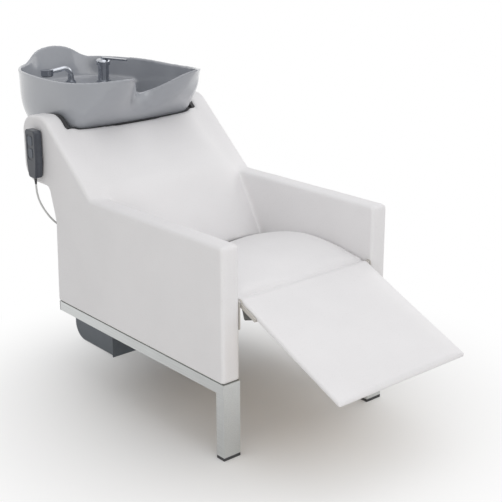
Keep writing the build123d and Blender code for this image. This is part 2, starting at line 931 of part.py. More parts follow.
finish(backrest_cushion, "backrest_cushion")

# Angles on the panels' inner faces, under the seat board and behind the backrest board
with BuildPart() as board_brackets:
    runs = []
    seat_run = (
        side(seat_bracket_start, rod_height(seat_bracket_start, board_underside)),
        side(seat_bracket_end, rod_height(seat_bracket_end, board_underside)),
    )
    runs.append(seat_run)
    low_end, corner, top_end = backrest_layer(board_depth)
    for start, end in ((low_end, corner), (corner, top_end)):
        middle = ((start[0] + end[0]) / 2, (start[1] + end[1]) / 2)
        full = sqrt((end[0] - start[0]) ** 2 + (end[1] - start[1]) ** 2)
        step = backrest_bracket_length / 2 / full
        half_run = ((end[0] - start[0]) * step, (end[1] - start[1]) * step)
        runs.append(
            (
                (middle[0] - half_run[0], middle[1] - half_run[1]),
                (middle[0] + half_run[0], middle[1] + half_run[1]),
            )
        )
    for sign in (-1, 1):
        for start, end in runs:
            run = (end[0] - start[0], end[1] - start[1])
            length = sqrt(run[0] ** 2 + run[1] ** 2)
            along = (0, run[0] / length, run[1] / length)
            inner_x = sign * panel_inner_x
            angle_plane = Plane(
                origin=(inner_x, start[0], start[1]), x_dir=along, z_dir=(1, 0, 0)
            )
            with BuildSketch(angle_plane):
                with Locations((length / 2, -angle_width / 2)):
                    Rectangle(length, angle_width)
            extrude(amount=-sign * angle_thickness)
            with BuildSketch(angle_plane):
                with Locations((length / 2, -angle_thickness / 2)):
                    Rectangle(length, angle_thickness)
            extrude(amount=-sign * angle_width)
finish(board_brackets, "board_brackets")

# Leg rest board and cushion, drawn about the hinge axis
leg_board_end = leg_rest_length - leg_board_setback
leg_board_half_width = leg_rest_half_width - leg_board_setback
leg_board_top = leg_board_thickness - leg_rest_half_thickness
with BuildPart() as leg_rest_board:
    with BuildSketch(leg_plane(0)):
        with Locations(
            (
                (leg_board_setback + leg_board_end) / 2,
                leg_board_top - leg_board_thickness / 2,
            )
        ):
            Rectangle(leg_board_end - leg_board_setback, leg_board_thickness)
    extrude(amount=leg_board_half_width, both=True)
finish(leg_rest_board, "leg_rest_board")

with BuildPart() as leg_rest_cushion:
    for place, rise_share, drop_share in zip(
        cushion_place_shares, cushion_rise_shares, cushion_shoulder_shares
    ):
        with BuildSketch(leg_plane(place * leg_rest_half_width)):
            with BuildLine():
                reach = (leg_rest_length - leg_front_radius) / (len(leg_rest_crown_shares) - 1)
                fall = (leg_rest_half_thickness - leg_rest_end_height) / (
                    len(leg_rest_crown_shares) - 1
                )
                rise = leg_rest_crown * rise_share - leg_edge_drop * drop_share
                top = [
                    (reach * step, leg_rest_half_thickness - fall * step + rise * share)
                    for step, share in enumerate(leg_rest_crown_shares)
                ]
                ThreePointArc(
                    (0, -leg_rest_half_thickness),
                    (-leg_rest_half_thickness, 0),
                    (0, leg_rest_half_thickness),
                )
                Spline(*top)
                Polyline(
                    top[-1],
                    (leg_rest_length, top[-1][1] - leg_front_radius),
                    (leg_rest_length, leg_front_radius / 2 - leg_rest_half_thickness),
                    (leg_rest_length - leg_front_radius, -leg_rest_half_thickness),
                    (0, -leg_rest_half_thickness),
                )
            make_face()
    loft()
    with BuildSketch(leg_plane(0)):
        with BuildLine():
            Polyline(
                (leg_board_setback - soft_gap, -leg_rest_half_thickness - cut_overrun),
                (leg_board_setback - soft_gap, leg_board_top),
                (leg_board_end + soft_gap, leg_board_top),
                (leg_board_end + soft_gap, -leg_rest_half_thickness - cut_overrun),
                close=True,
            )
        make_face()
    extrude(amount=leg_board_half_width + soft_gap, both=True, mode=Mode.SUBTRACT)
finish(leg_rest_cushion, "leg_rest_cushion")

# Hinge of the leg rest: leaves, pins and brackets
leaf_inner_x = leg_rest_half_width + leaf_side_clearance
leaf_outer_x = leaf_inner_x + hinge_plate_thickness
bracket_inner_x = panel_inner_x - bracket_thickness
leaf_underside = -leg_rest_half_thickness - hinge_flange_thickness
with BuildPart() as hinge_leaves:
    for sign in (-1, 1):
        with BuildSketch(leg_plane(sign * leaf_inner_x)):
            Circle(hinge_eye_radius)
            with Locations((hinge_plate_length / 2, leaf_underside / 2)):
                Rectangle(hinge_plate_length, -leaf_underside)
            Circle(hinge_pin_radius + running_fit, mode=Mode.SUBTRACT)
        extrude(amount=-sign * hinge_plate_thickness)
        with BuildSketch(leg_plane(sign * leaf_inner_x)):
            with Locations(
                (
                    (leg_board_setback + hinge_plate_length) / 2,
                    leaf_underside + hinge_flange_thickness / 2,
                )
            ):
                Rectangle(hinge_plate_length - leg_board_setback, hinge_flange_thickness)
        extrude(amount=sign * (hinge_flange_width - hinge_plate_thickness))
finish(hinge_leaves, "hinge_leaves")

with BuildPart() as hinge_pins:
    for sign in (-1, 1):
        with BuildSketch(leg_plane(sign * (leaf_inner_x + soft_gap))):
            Circle(hinge_pin_radius)
        extrude(amount=-sign * (panel_inner_x - leaf_inner_x - 2 * soft_gap))
        with BuildSketch(leg_plane(sign * bracket_inner_x)):
            Circle(hinge_shoulder_radius)
        extrude(amount=sign * (bracket_inner_x - leaf_outer_x - soft_gap))
finish(hinge_pins, "hinge_pins")

with BuildPart() as hinge_brackets:
    for sign in (-1, 1):
        with BuildSketch(side_plane(sign * panel_inner_x)):
            with Locations(
                side(
                    cut_overrun + hinge_bracket_width / 2,
                    hinge_height + hinge_eye_radius - (hinge_bracket_drop + hinge_eye_radius) / 2,
                )
            ):
                RectangleRounded(
                    hinge_bracket_width,
                    hinge_bracket_drop + hinge_eye_radius,
                    hinge_eye_radius,
                )
            with Locations(side(hinge_back, hinge_height)):
                Circle(hinge_pin_radius + running_fit, mode=Mode.SUBTRACT)
        extrude(amount=-sign * bracket_thickness)
finish(hinge_brackets, "hinge_brackets")


def cam_point(angle):
    """A point of the lifting plate's face, in the rod plane, where it meets the roller at an angle."""
    turn = radians(rest_angle - angle)
    ahead = cam_reach - cam_base_radius * radians(angle)
    return (
        ahead * cos(turn) - cam_base_radius * sin(turn),
        -cam_base_radius * cos(turn) - ahead * sin(turn),
    )


def rod_to_leg(point):
    """A point of the rod plane in the leg plane."""
    turn = radians(180.0 - rod_slope - leg_rest_drop)
    return (
        point[0] * cos(turn) - point[1] * sin(turn),
        -point[0] * sin(turn) - point[1] * cos(turn),
    )


# Lifting plate of the leg rest: its face is an involute, so the roller moves in step
cam_angles = (-2.0, 8.0, 18.0, 30.0, 42.0, 54.0, 66.0, 78.0, 86.0, 92.0)
with BuildPart() as lifting_plate:
    face_line = [rod_to_leg(cam_point(angle)) for angle in cam_angles]
    with BuildSketch(leg_plane(0)):
        with BuildLine():
            Spline(*face_line)
            Polyline(
                face_line[-1],
                (cam_root_start, -leg_rest_half_thickness),
                (cam_root_end, -leg_rest_half_thickness),
                (face_line[0][0] + cam_tip_width, face_line[0][1] + cam_tip_width),
                face_line[0],
            )
        make_face()
    extrude(amount=cam_thickness / 2, both=True)
    with BuildSketch(leg_plane(0)):
        with Locations(
            (
                (cam_root_start + cam_root_end) / 2,
                -leg_rest_half_thickness - bracket_thickness / 2,
            )
        ):
            Rectangle(cam_root_end - cam_root_start, bracket_thickness)
    extrude(amount=cam_flange_half_width, both=True)
finish(lifting_plate, "lifting_plate")

# Rod with its fork, and the roller that pushes the lifting plate
fork_inner_x = roller_width / 2 + fork_cheek_gap
fork_outer_x = fork_inner_x + fork_cheek_thickness
fork_end = roller_place + fork_length
with BuildPart() as actuator_rod:
    with BuildSketch(rod_plane(0)):
        with Locations((roller_place, -cam_base_radius)):
            Circle(fork_radius)
        with Locations((roller_place + fork_length / 2, -cam_base_radius)):
            Rectangle(fork_length, 2 * fork_radius)
    extrude(amount=fork_outer_x, both=True)
    with BuildSketch(rod_plane(0)):
        with Locations((roller_place - fork_bridge_length / 2, -cam_base_radius)):
            Rectangle(
                2 * (fork_length - fork_bridge_length) + fork_bridge_length,
                2 * (fork_radius + cut_overrun),
            )
    extrude(amount=fork_inner_x, both=True, mode=Mode.SUBTRACT)
    with BuildSketch(rod_plane(0)):
        with Locations((roller_place, -cam_base_radius)):
            Circle(roller_axle_radius + running_fit)
    extrude(amount=fork_outer_x + cut_overrun, both=True, mode=Mode.SUBTRACT)
    rod_start = rod_plane(0).from_local_coords(Vector(fork_end, -cam_base_radius, 0))
    with BuildSketch(Plane(origin=rod_start, x_dir=(1, 0, 0), z_dir=rod_plane(0).x_dir)):
        Circle(rod_radius)
    extrude(amount=rod_length)
finish(actuator_rod, "actuator_rod")

with BuildPart() as cam_roller:
    with BuildSketch(rod_plane(0)):
        with Locations((roller_place, -cam_base_radius)):
            Circle(roller_radius)
    extrude(amount=roller_width / 2, both=True)
    with BuildSketch(rod_plane(0)):
        with Locations((roller_place, -cam_base_radius)):
            Circle(roller_axle_radius)
    extrude(amount=fork_outer_x, both=True)
finish(cam_roller, "cam_roller")

# Actuator: tube, gearbox with motor, and the brackets under the seat board
tube_end = tube_start + tube_length
gearbox_top = -seat_board_gap_above_rod / 4 - cam_base_radius + seat_board_gap_above_rod
with BuildPart() as actuator_tube:
    tube_front = rod_plane(0).from_local_coords(Vector(tube_start, -cam_base_radius, 0))
    tube_plane = Plane(origin=tube_front, x_dir=(1, 0, 0), z_dir=rod_plane(0).x_dir)
    with BuildSketch(tube_plane):
        Circle(tube_radius)
        Circle(rod_radius + running_fit, mode=Mode.SUBTRACT)
    extrude(amount=tube_length)
    with BuildSketch(tube_plane.offset(tube_radius)):
        Circle(tube_radius - frame_wall)
    extrude(amount=tube_length, mode=Mode.SUBTRACT)
finish(actuator_tube, "actuator_tube")

with BuildPart() as actuator_motor:
    with BuildSketch(rod_plane(0)):
        with Locations((tube_end + gearbox_length / 2, gearbox_top - gearbox_height / 2)):
            RectangleRounded(gearbox_length, gearbox_height, control_box_radius)
    extrude(amount=gearbox_half_width, both=True)
    motor_front = rod_plane(0).from_local_coords(
        Vector(tube_end - motor_length, -cam_base_radius - motor_drop, 0)
    )
    with BuildSketch(Plane(origin=motor_front, x_dir=(1, 0, 0), z_dir=rod_plane(0).x_dir)):
        Circle(motor_radius)
    extrude(amount=motor_length + control_box_radius)
    lug_centre = tube_end + gearbox_length + rear_lug_length / 2
    with BuildSketch(rod_plane(0)):
        with Locations((lug_centre - rear_pin_radius, -cam_base_radius)):
            Rectangle(rear_lug_length + 2 * rear_pin_radius, 4 * rear_pin_radius)
        with Locations((lug_centre, -cam_base_radius)):
            Circle(rear_pin_radius + running_fit, mode=Mode.SUBTRACT)
    extrude(amount=rear_lug_width / 2, both=True)
finish(actuator_motor, "actuator_motor")

with BuildPart() as actuator_brackets:
    saddle_centre = tube_start + tube_length / 2
    with BuildSketch(rod_plane(0)):
        with Locations((saddle_centre, board_underside - saddle_foot_thickness / 2)):
            Rectangle(saddle_length, saddle_foot_thickness)
    extrude(amount=saddle_half_width, both=True)
    saddle_low = cam_base_radius + tube_radius / 2
    with BuildSketch(rod_plane(0)):
        with Locations((saddle_centre, (board_underside - saddle_low) / 2)):
            Rectangle(saddle_length, board_underside + saddle_low)
    extrude(amount=tube_radius + saddle_foot_thickness, both=True)
    saddle_front = rod_plane(0).from_local_coords(
        Vector(saddle_centre - saddle_length, -cam_base_radius, 0)
    )
    with BuildSketch(Plane(origin=saddle_front, x_dir=(1, 0, 0), z_dir=rod_plane(0).x_dir)):
        Circle(tube_radius + running_fit)
        with Locations((0, tube_radius)):
            Rectangle(2 * (tube_radius + running_fit), 2 * tube_radius)
    extrude(amount=2 * saddle_length, mode=Mode.SUBTRACT)
    ear_inner_x = rear_lug_width / 2 + soft_gap
    ear_outer_x = ear_inner_x + rear_ear_thickness
    ear_low = cam_base_radius + 2 * rear_pin_radius
    with BuildSketch(rod_plane(0)):
        with Locations((lug_centre, board_underside - saddle_foot_thickness / 2)):
            Rectangle(rear_lug_length, saddle_foot_thickness)
    extrude(amount=saddle_half_width, both=True)
    for sign in (-1, 1):
        with BuildSketch(rod_plane(sign * ear_inner_x)):
            with Locations((lug_centre + soft_gap, (board_underside - ear_low) / 2)):
                Rectangle(rear_lug_length - 2 * soft_gap, board_underside + ear_low)
        extrude(amount=sign * rear_ear_thickness)
    with BuildSketch(rod_plane(0)):
        with Locations((lug_centre, -cam_base_radius)):
            Circle(rear_pin_radius)
    extrude(amount=ear_outer_x + cut_overrun, both=True)
finish(actuator_brackets, "actuator_brackets")

# Control box on the middle cross rail
with BuildPart() as control_box:
    box_y = front_y + control_box_back + control_box_depth / 2
    with BuildSketch(Plane.XY.offset(rail_top)):
        with Locations((0, box_y)):
            RectangleRounded(
                2 * control_box_half_width, control_box_depth, control_box_radius
            )
    extrude(amount=control_box_height)
    top_edges = control_box.faces().sort_by(Axis.Z)[-1].edges()
    fillet(top_edges, frame_wall)
    inlet_plane = Plane(
        origin=(0, box_y + control_box_depth / 2, rail_top + control_box_height / 2),
        x_dir=(-1, 0, 0),
        z_dir=(0, 1, 0),
    )
    with BuildSketch(inlet_plane):
        Rectangle(inlet_width, inlet_height)
    extrude(amount=-inlet_depth, mode=Mode.SUBTRACT)
finish(control_box, "control_box")


# Tools for the bowl: neck notch, its wall and lip, and the cut along the rim
notch_spread = notch_mouth_half_width / (notch_apex_back - notch_mouth_back)
notch_far_back = rim_backs[0]
notch_far_half_width = notch_spread * (notch_apex_back - notch_far_back)
tool_low = bowl_bottom - bowl_overhead
tool_high = bowl_heights[-1] + bowl_overhead
with BuildPart() as notch_tool:
    with BuildSketch(Plane.XY.offset(tool_low)):
        with BuildLine():
            FilletPolyline(
                (-notch_far_half_width, front_y + notch_far_back),
                (0, front_y + notch_apex_back),
                (notch_far_half_width, front_y + notch_far_back),
                radius=(0, notch_radius, 0),
                close=True,
            )
        make_face()
    extrude(amount=tool_high - tool_low)
with BuildPart() as notch_wall_tool:
    with BuildSketch(Plane.XY.offset(tool_low)):
        with BuildLine():
            FilletPolyline(
                (-notch_far_half_width, front_y + notch_far_back),
                (0, front_y + notch_apex_back),
                (notch_far_half_width, front_y + notch_far_back),
                radius=(0, notch_radius, 0),
                close=True,
            )
        make_face()
        offset(amount=notch_wall)
    extrude(amount=tool_high - tool_low)
with BuildPart() as lip_tool:
    with BuildSketch(side_plane(0)):
        with BuildLine():
            lip = [side(*place) for place in zip(notch_lip_backs, notch_lip_heights)]
            Spline(*lip)
            Polyline(
                lip[-1],
                side(notch_lip_backs[-1], tool_high),
                side(notch_lip_backs[0], tool_high),
                lip[0],
            )
        make_face()
    extrude(amount=half_width, both=True)
    add(notch_wall_tool.part, mode=Mode.INTERSECT)
with BuildPart() as guard_tool:
    guard_plane = Plane(
        origin=(0, front_y + guard_start_back, 0), x_dir=(-1, 0, 0), z_dir=(0, 1, 0)
    )
    with BuildSketch(guard_plane):
        with BuildLine():
            right = list(zip(guard_half_widths, guard_heights))
            left = [(-place[0], place[1]) for place in reversed(right[1:])]
            crest = left + right
            Spline(*crest)
            Polyline(
                crest[-1],
                (guard_half_widths[-1], tool_low),
                (-guard_half_widths[-1], tool_low),
                crest[0],
            )
        make_face()
    extrude(amount=rim_backs[-1] - guard_start_back)
with BuildPart() as rim_tool:
    with BuildSketch(side_plane(0)):
        with BuildLine():
            rim = [side(*place) for place in zip(rim_backs, rim_heights)]
            Spline(*rim)
            Polyline(
                rim[-1],
                side(rim_backs[-1], tool_high),
                side(rim_backs[0], tool_high),
                rim[0],
            )
        make_face()
    extrude(amount=half_width, both=True)
    add(guard_tool.part, mode=Mode.SUBTRACT)
with BuildPart() as bowl_cavity:
    cavity_heights = (bowl_floor_height,) + bowl_heights[1:-1] + (bowl_heights[-1] + cut_overrun,)
    for height in cavity_heights:
        inset = bowl_wall
        if height == bowl_floor_height:
            inset = bowl_wall + bowl_inner_edge_radius / 2
        with BuildSketch(Plane.XY.offset(height)):
            with BuildLine():
                Spline(*bowl_section(height, inset), periodic=True)
            make_face()
    loft()
    with BuildSketch(side_plane(0)):
        with BuildLine():
            FilletPolyline(
                side(deck_front_back, tool_low),
                side(deck_front_back, deck_height),
                side(rim_backs[-1], deck_height),
                side(rim_backs[-1], tool_low),
                radius=(0, deck_edge_radius, 0, 0),
                close=True,
            )
        make_face()
    extrude(amount=half_width, both=True, mode=Mode.SUBTRACT)
    add(notch_wall_tool.part, mode=Mode.SUBTRACT)
with BuildPart() as deck_pocket:
    pocket_heights = (bowl_floor_height,) + bowl_heights[1:-1]
    for height in pocket_heights:
        with BuildSketch(Plane.XY.offset(height)):
            with BuildLine():
                Spline(*bowl_section(height, bowl_wall), periodic=True)
            make_face()
    loft()
    with BuildSketch(side_plane(0)):
        with BuildLine():
            Polyline(
                side(pocket_front_back, tool_low),
                side(pocket_front_back, pocket_roof),
                side(rim_backs[-1], pocket_roof),
                side(rim_backs[-1], tool_low),
                close=True,
            )
        make_face()
    extrude(amount=half_width, both=True, mode=Mode.INTERSECT)

# Bowl: outer form, less its cavity, neck notch, rim cut, service pocket and holes
mixer_y = front_y + mixer_back
shower_y = front_y + shower_back
drain_y = front_y + drain_back
with BuildPart() as bowl_shell:
    for height in bowl_heights:
        with BuildSketch(Plane.XY.offset(height)):
            with BuildLine():
                Spline(*bowl_section(height, 0), periodic=True)
            make_face()
    loft()
    add(bowl_cavity.part, mode=Mode.SUBTRACT)
    add(notch_tool.part, mode=Mode.SUBTRACT)
    add(lip_tool.part, mode=Mode.SUBTRACT)
    add(rim_tool.part, mode=Mode.SUBTRACT)
    add(deck_pocket.part, mode=Mode.SUBTRACT)
    with BuildSketch(Plane.XY.offset(tool_low)):
        with Locations((0, front_y + (pocket_front_back + pocket_mouth_rear_back) / 2)):
            RectangleRounded(
                2 * pocket_mouth_half_width,
                pocket_mouth_rear_back - pocket_front_back,
                bowl_inner_edge_radius,
            )
    extrude(amount=bowl_floor_height + cut_overrun - tool_low, mode=Mode.SUBTRACT)
    with BuildSketch(Plane.XY.offset(pocket_roof - cut_overrun)):
        with Locations((mixer_x, mixer_y)):
            Circle(mixer_hole_radius)
        with Locations((shower_x, shower_y)):
            Circle(mixer_hole_radius)
    extrude(amount=deck_height - pocket_roof + 2 * cut_overrun, mode=Mode.SUBTRACT)
    with BuildSketch(Plane.XY.offset(bowl_bottom - cut_overrun)):
        with Locations((0, drain_y)):
            Circle(drain_hole_radius)
    extrude(amount=bowl_floor_height - bowl_bottom + 2 * cut_overrun, mode=Mode.SUBTRACT)
finish(bowl_shell, "bowl_shell")

# Seal between the bowl and the body: a strip on each panel head and one round the bowl's front
end_point = Vector(0, *side(backrest_side_backs[-1], backrest_side_heights[-1]))
end_local = slope_plane(0).to_local_coords(end_point)
seal_start = end_local.X
mask_near = slope_plane(0).from_local_coords(
    Vector(seal_start + seal_end_gap, column_width, 0)
)
mask_low = slope_plane(0).from_local_coords(
    Vector(seal_start + seal_end_gap, -panel_thickness, 0)
)
seal_faces = []
for sign in (-1, 1):
    with BuildSketch(side_plane(sign * panel_inner_x)) as seal_inner:
        with BuildLine():
            FilletPolyline(*outline_points, radius=outline_radii, close=True)
        make_face()
        offset(amount=-seal_inset - seal_depth)
    with BuildSketch(side_plane(sign * panel_inner_x)) as seal_outer:
        with BuildLine():
            FilletPolyline(*outline_points, radius=outline_radii, close=True)
        make_face()
        offset(amount=-seal_inset)
        add(seal_inner.sketch, mode=Mode.SUBTRACT)
        with BuildLine():
            Polyline(
                (mask_near.Y, mask_near.Z),
                (mask_low.Y, mask_low.Z),
                side(rim_backs[-1], bowl_bottom),
                side(rim_backs[-1], mask_near.Z),
                close=True,
            )
        make_face(mode=Mode.INTERSECT)
    seal_faces.append(seal_outer.sketch)
with BuildPart() as bowl_seal:
    with BuildSketch(slope_plane(0)):
        with Locations(
            (
                seal_start - seal_front_length / 2,
                end_local.Y - seal_inset - seal_front_height / 2,
            )
        ):
            Rectangle(seal_front_length, seal_front_height)
    extrude(amount=panel_inner_x - seal_width - seal_end_gap, both=True)
    add(seal_outer_room.part, mode=Mode.INTERSECT)
    add(seal_inner_room.part, mode=Mode.SUBTRACT)
    for sign, seal_face in zip((-1, 1), seal_faces):
        extrude(seal_face, amount=seal_width, dir=(-sign, 0, 0))
finish(bowl_seal, "bowl_seal")

# Tilting carrier under the bowl, and the brackets on the posts that hold it
plate_inner_x = post_spacing / 2 + post_size / 2
plate_outer_x = plate_inner_x + support_plate_thickness
ear_inner = plate_outer_x + ear_gap
ear_outer = ear_inner + ear_thickness
with BuildPart() as bowl_brackets:
    for sign in (-1, 1):
        with BuildSketch(side_plane(sign * plate_inner_x)):
            with Locations(side(pivot_back, pivot_height)):
                Circle(pivot_eye_radius)
            with Locations(
                side(post_front_back + post_size / 2, post_top - support_plate_depth / 2)
            ):
                Rectangle(post_size, support_plate_depth)
            make_hull()
            with Locations(side(pivot_back, pivot_height)):
                Circle(pivot_pin_radius + running_fit, mode=Mode.SUBTRACT)
        extrude(amount=sign * support_plate_thickness)
finish(bowl_brackets, "bowl_brackets")

with BuildPart() as bowl_carrier:
    tray_middle = front_y + (tray_front_back + tray_rear_back) / 2
    with BuildSketch(Plane.XY.offset(bowl_bottom - tray_thickness)):
        with Locations((0, tray_middle)):
            Rectangle(2 * ear_outer, tray_rear_back - tray_front_back)
        with Locations((0, drain_y)):
            Circle(tray_hole_radius, mode=Mode.SUBTRACT)
    extrude(amount=tray_thickness)
    for sign in (-1, 1):
        with BuildSketch(side_plane(sign * ear_inner)):
            with Locations(side(pivot_back, pivot_height)):
                Circle(pivot_eye_radius)
            with Locations(side(pivot_back, bowl_bottom - tray_thickness)):
                Rectangle(ear_width, tray_thickness)
            make_hull()
            with Locations(side(pivot_back, pivot_height)):
                Circle(pivot_pin_radius + running_fit, mode=Mode.SUBTRACT)
        extrude(amount=sign * ear_thickness)
finish(bowl_carrier, "bowl_carrier")

lever_outer_x = column_width / 2 + lock_side_clearance + lock_lever_thickness
with BuildPart() as tilt_pins:
    for sign in (-1, 1):
        reach = ear_outer + soft_gap if sign < 0 else lever_outer_x + soft_gap
        with BuildSketch(side_plane(sign * plate_inner_x)):
            with Locations(side(pivot_back, pivot_height)):
                Circle(pivot_head_radius)
        extrude(amount=-sign * pivot_head_thickness)
        with BuildSketch(side_plane(sign * plate_inner_x)):
            with Locations(side(pivot_back, pivot_height)):
                Circle(pivot_pin_radius)
        extrude(amount=sign * (reach - plate_inner_x))
        with BuildSketch(side_plane(sign * reach)):
            with Locations(side(pivot_back, pivot_height)):
                Circle(pivot_head_radius)
        extrude(amount=sign * pivot_head_thickness)
finish(tilt_pins, "tilt_pins")

with BuildPart() as tilt_lock_lever:
    lever_inner_x = lever_outer_x - lock_lever_thickness
    arm_turn = radians(lock_lever_angle)
    arm_end = side(
        pivot_back + lock_lever_length * cos(arm_turn),
        pivot_height + lock_lever_length * sin(arm_turn),
    )
    with BuildSketch(side_plane(ear_outer + soft_gap)):
        with Locations(side(pivot_back, pivot_height)):
            Circle(lock_hub_radius)
    extrude(amount=lever_outer_x - ear_outer - soft_gap)
    with BuildSketch(side_plane(lever_inner_x)):
        with Locations(side(pivot_back, pivot_height)):
            Circle(lock_hub_radius)
        with Locations(arm_end):
            Circle(lock_lever_width / 2)
        make_hull()
    extrude(amount=lock_lever_thickness)
    with BuildSketch(side_plane(lever_outer_x)):
        with Locations(arm_end):
            Circle(lock_knob_radius)
    extrude(amount=lock_knob_length)
    with BuildSketch(side_plane(ear_outer)):
        with Locations(side(pivot_back, pivot_height)):
            Circle(pivot_pin_radius + running_fit)
    extrude(amount=lever_outer_x - ear_outer, mode=Mode.SUBTRACT)
finish(tilt_lock_lever, "tilt_lock_lever")

# Drain: flange through the bowl, hair strainer, and the bottle trap below
seat_level = bowl_floor_height + flange_thickness - flange_seat_depth
with BuildPart() as drain_flange:
    with BuildSketch(Plane.XY.offset(bowl_floor_height)):
        with Locations((0, drain_y)):
            Circle(flange_radius)
    extrude(amount=flange_thickness)
    with BuildSketch(Plane.XY.offset(bowl_floor_height)):
        with Locations((0, drain_y)):
            Circle(flange_tail_radius)
    extrude(amount=-flange_tail_length)
    with BuildSketch(Plane.XY.offset(seat_level)):
        with Locations((0, drain_y)):
            Circle(flange_seat_radius)
    extrude(amount=flange_seat_depth + cut_overrun, mode=Mode.SUBTRACT)
    with BuildSketch(Plane.XY.offset(seat_level + cut_overrun)):
        with Locations((0, drain_y)):
            Circle(flange_bore_radius)
    extrude(amount=-flange_tail_length - flange_thickness - cut_overrun, mode=Mode.SUBTRACT)
finish(drain_flange, "drain_flange")

with BuildPart() as drain_strainer:
    with BuildSketch(Plane.XY.offset(seat_level)):
        with Locations((0, drain_y)):
            Circle(strainer_rim_radius)
    extrude(amount=strainer_wall)
    with BuildSketch(Plane.XY.offset(seat_level)):
        with Locations((0, drain_y)):
            Circle(strainer_cup_radius)
    extrude(amount=-strainer_cup_depth)
    with BuildSketch(Plane.XY.offset(seat_level + strainer_wall)):
        with Locations((0, drain_y)):
            Circle(strainer_cup_radius - strainer_wall)
    extrude(amount=-strainer_cup_depth, mode=Mode.SUBTRACT)
    with BuildSketch(Plane.XY.offset(seat_level)):
        with Locations((0, drain_y)):
            Circle(strainer_hole_radius)
            with PolarLocations(strainer_ring_radius, strainer_hole_count):
                Circle(strainer_hole_radius)
    extrude(amount=-strainer_cup_depth - cut_overrun, mode=Mode.SUBTRACT)
finish(drain_strainer, "drain_strainer")

with BuildPart() as bottle_trap:
    collar_low = bowl_bottom - trap_collar_height
    tube_low = collar_low - trap_tube_length
    bottle_low = tube_low - trap_bottle_length
    with BuildSketch(Plane.XY.offset(tube_low)):
        with Locations((0, drain_y)):
            Circle(trap_bottle_radius)
    extrude(amount=-trap_bottle_length)
    fillet(bottle_trap.edges().filter_by(GeomType.CIRCLE), trap_bottle_rounding)
    with BuildSketch(Plane.XY.offset(collar_low)):
        with Locations((0, drain_y)):
            Circle(trap_collar_radius)
    extrude(amount=trap_collar_height)
    with BuildSketch(Plane.XY.offset(collar_low)):
        with Locations((0, drain_y)):
            Circle(trap_tube_radius)
    extrude(amount=-trap_tube_length)
    outlet_plane = Plane(
        origin=(0, drain_y, tube_low - trap_outlet_drop), x_dir=(1, 0, 0), z_dir=(0, -1, 0)
    )
    with BuildSketch(outlet_plane):
        Circle(trap_outlet_radius)
    extrude(amount=trap_outlet_reach)
    with BuildSketch(Plane.XY.offset(bowl_bottom)):
        with Locations((0, drain_y)):
            Circle(flange_tail_radius + running_fit)
    extrude(amount=-trap_collar_bore_depth, mode=Mode.SUBTRACT)
    with BuildSketch(Plane.XY.offset(bowl_bottom)):
        with Locations((0, drain_y)):
            Circle(trap_tube_radius - waste_wall)
    extrude(amount=-trap_collar_height - trap_tube_length, mode=Mode.SUBTRACT)
    with BuildSketch(Plane.XY.offset(tube_low - waste_wall)):
        with Locations((0, drain_y)):
            Circle(trap_hollow_radius)
    extrude(amount=2 * waste_wall - trap_bottle_length, mode=Mode.SUBTRACT)
    with BuildSketch(Plane.XY.offset(tube_low)):
        with Locations((0, drain_y)):
            Circle(trap_tube_radius - waste_wall)
    extrude(amount=-2 * waste_wall, mode=Mode.SUBTRACT)
    with BuildSketch(outlet_plane):
        Circle(trap_outlet_radius - waste_wall)
    extrude(amount=trap_outlet_reach + cut_overrun, mode=Mode.SUBTRACT)
finish(bottle_trap, "bottle_trap")

# Lever mixer: body, dome and lever
mixer_top = deck_height + mixer_height
dome_low = mixer_top + dome_gap
dome_top = dome_low + dome_height
lever_pin_height = dome_top - lever_pin_below_top
lever_turned = radians(lever_turn)
lever_along = (sin(lever_turned), -cos(lever_turned), 0)
lever_across = (-cos(lever_turned), -sin(lever_turned), 0)
lever_side = Plane(
    origin=(mixer_x, mixer_y, lever_pin_height), x_dir=lever_along, z_dir=lever_across
)
lever_plan = Plane(
    origin=(mixer_x, mixer_y, dome_top + lever_lift_above_dome),
    x_dir=lever_along,
    z_dir=(0, 0, 1),
)
with BuildPart() as mixer_body:
    with BuildSketch(Plane.XY.offset(deck_height)):
        with Locations((mixer_x, mixer_y)):
            Circle(mixer_flange_radius)
    extrude(amount=mixer_flange_height)
    with BuildSketch(Plane.XY.offset(deck_height)):
        with Locations((mixer_x, mixer_y)):
            Circle(mixer_radius)
    extrude(amount=mixer_height)
    with BuildSketch(Plane.XY.offset(deck_height)):
        with Locations((mixer_x, mixer_y)):
            Circle(mixer_shank_radius)
    extrude(amount=-mixer_shank_length)
finish(mixer_body, "mixer_body")

# The slot is as long as the raised lever's tongue needs at the dome's top
lever_lift = radians(lever_lift_limit)
tongue_swing = (lever_tongue_half_length + lever_pin_below_top * sin(lever_lift)) / cos(lever_lift)
dome_slot_half_length = tongue_swing + dome_slot_clearance
with BuildPart() as mixer_dome:
    with BuildSketch(Plane.XY.offset(dome_low)):
        with Locations((mixer_x, mixer_y)):
            Circle(dome_radius)
    extrude(amount=dome_height)
    fillet(mixer_dome.faces().sort_by(Axis.Z)[-1].edges(), dome_rounding)
    with BuildSketch(lever_side):
        with Locations((0, 0)):
            Rectangle(2 * dome_slot_half_length, 4 * lever_pin_below_top)
    extrude(amount=dome_slot_width / 2, both=True, mode=Mode.SUBTRACT)
    with BuildSketch(lever_side):
        Circle(lever_pin_radius + running_fit)
    extrude(amount=dome_radius, both=True, mode=Mode.SUBTRACT)
finish(mixer_dome, "mixer_dome")

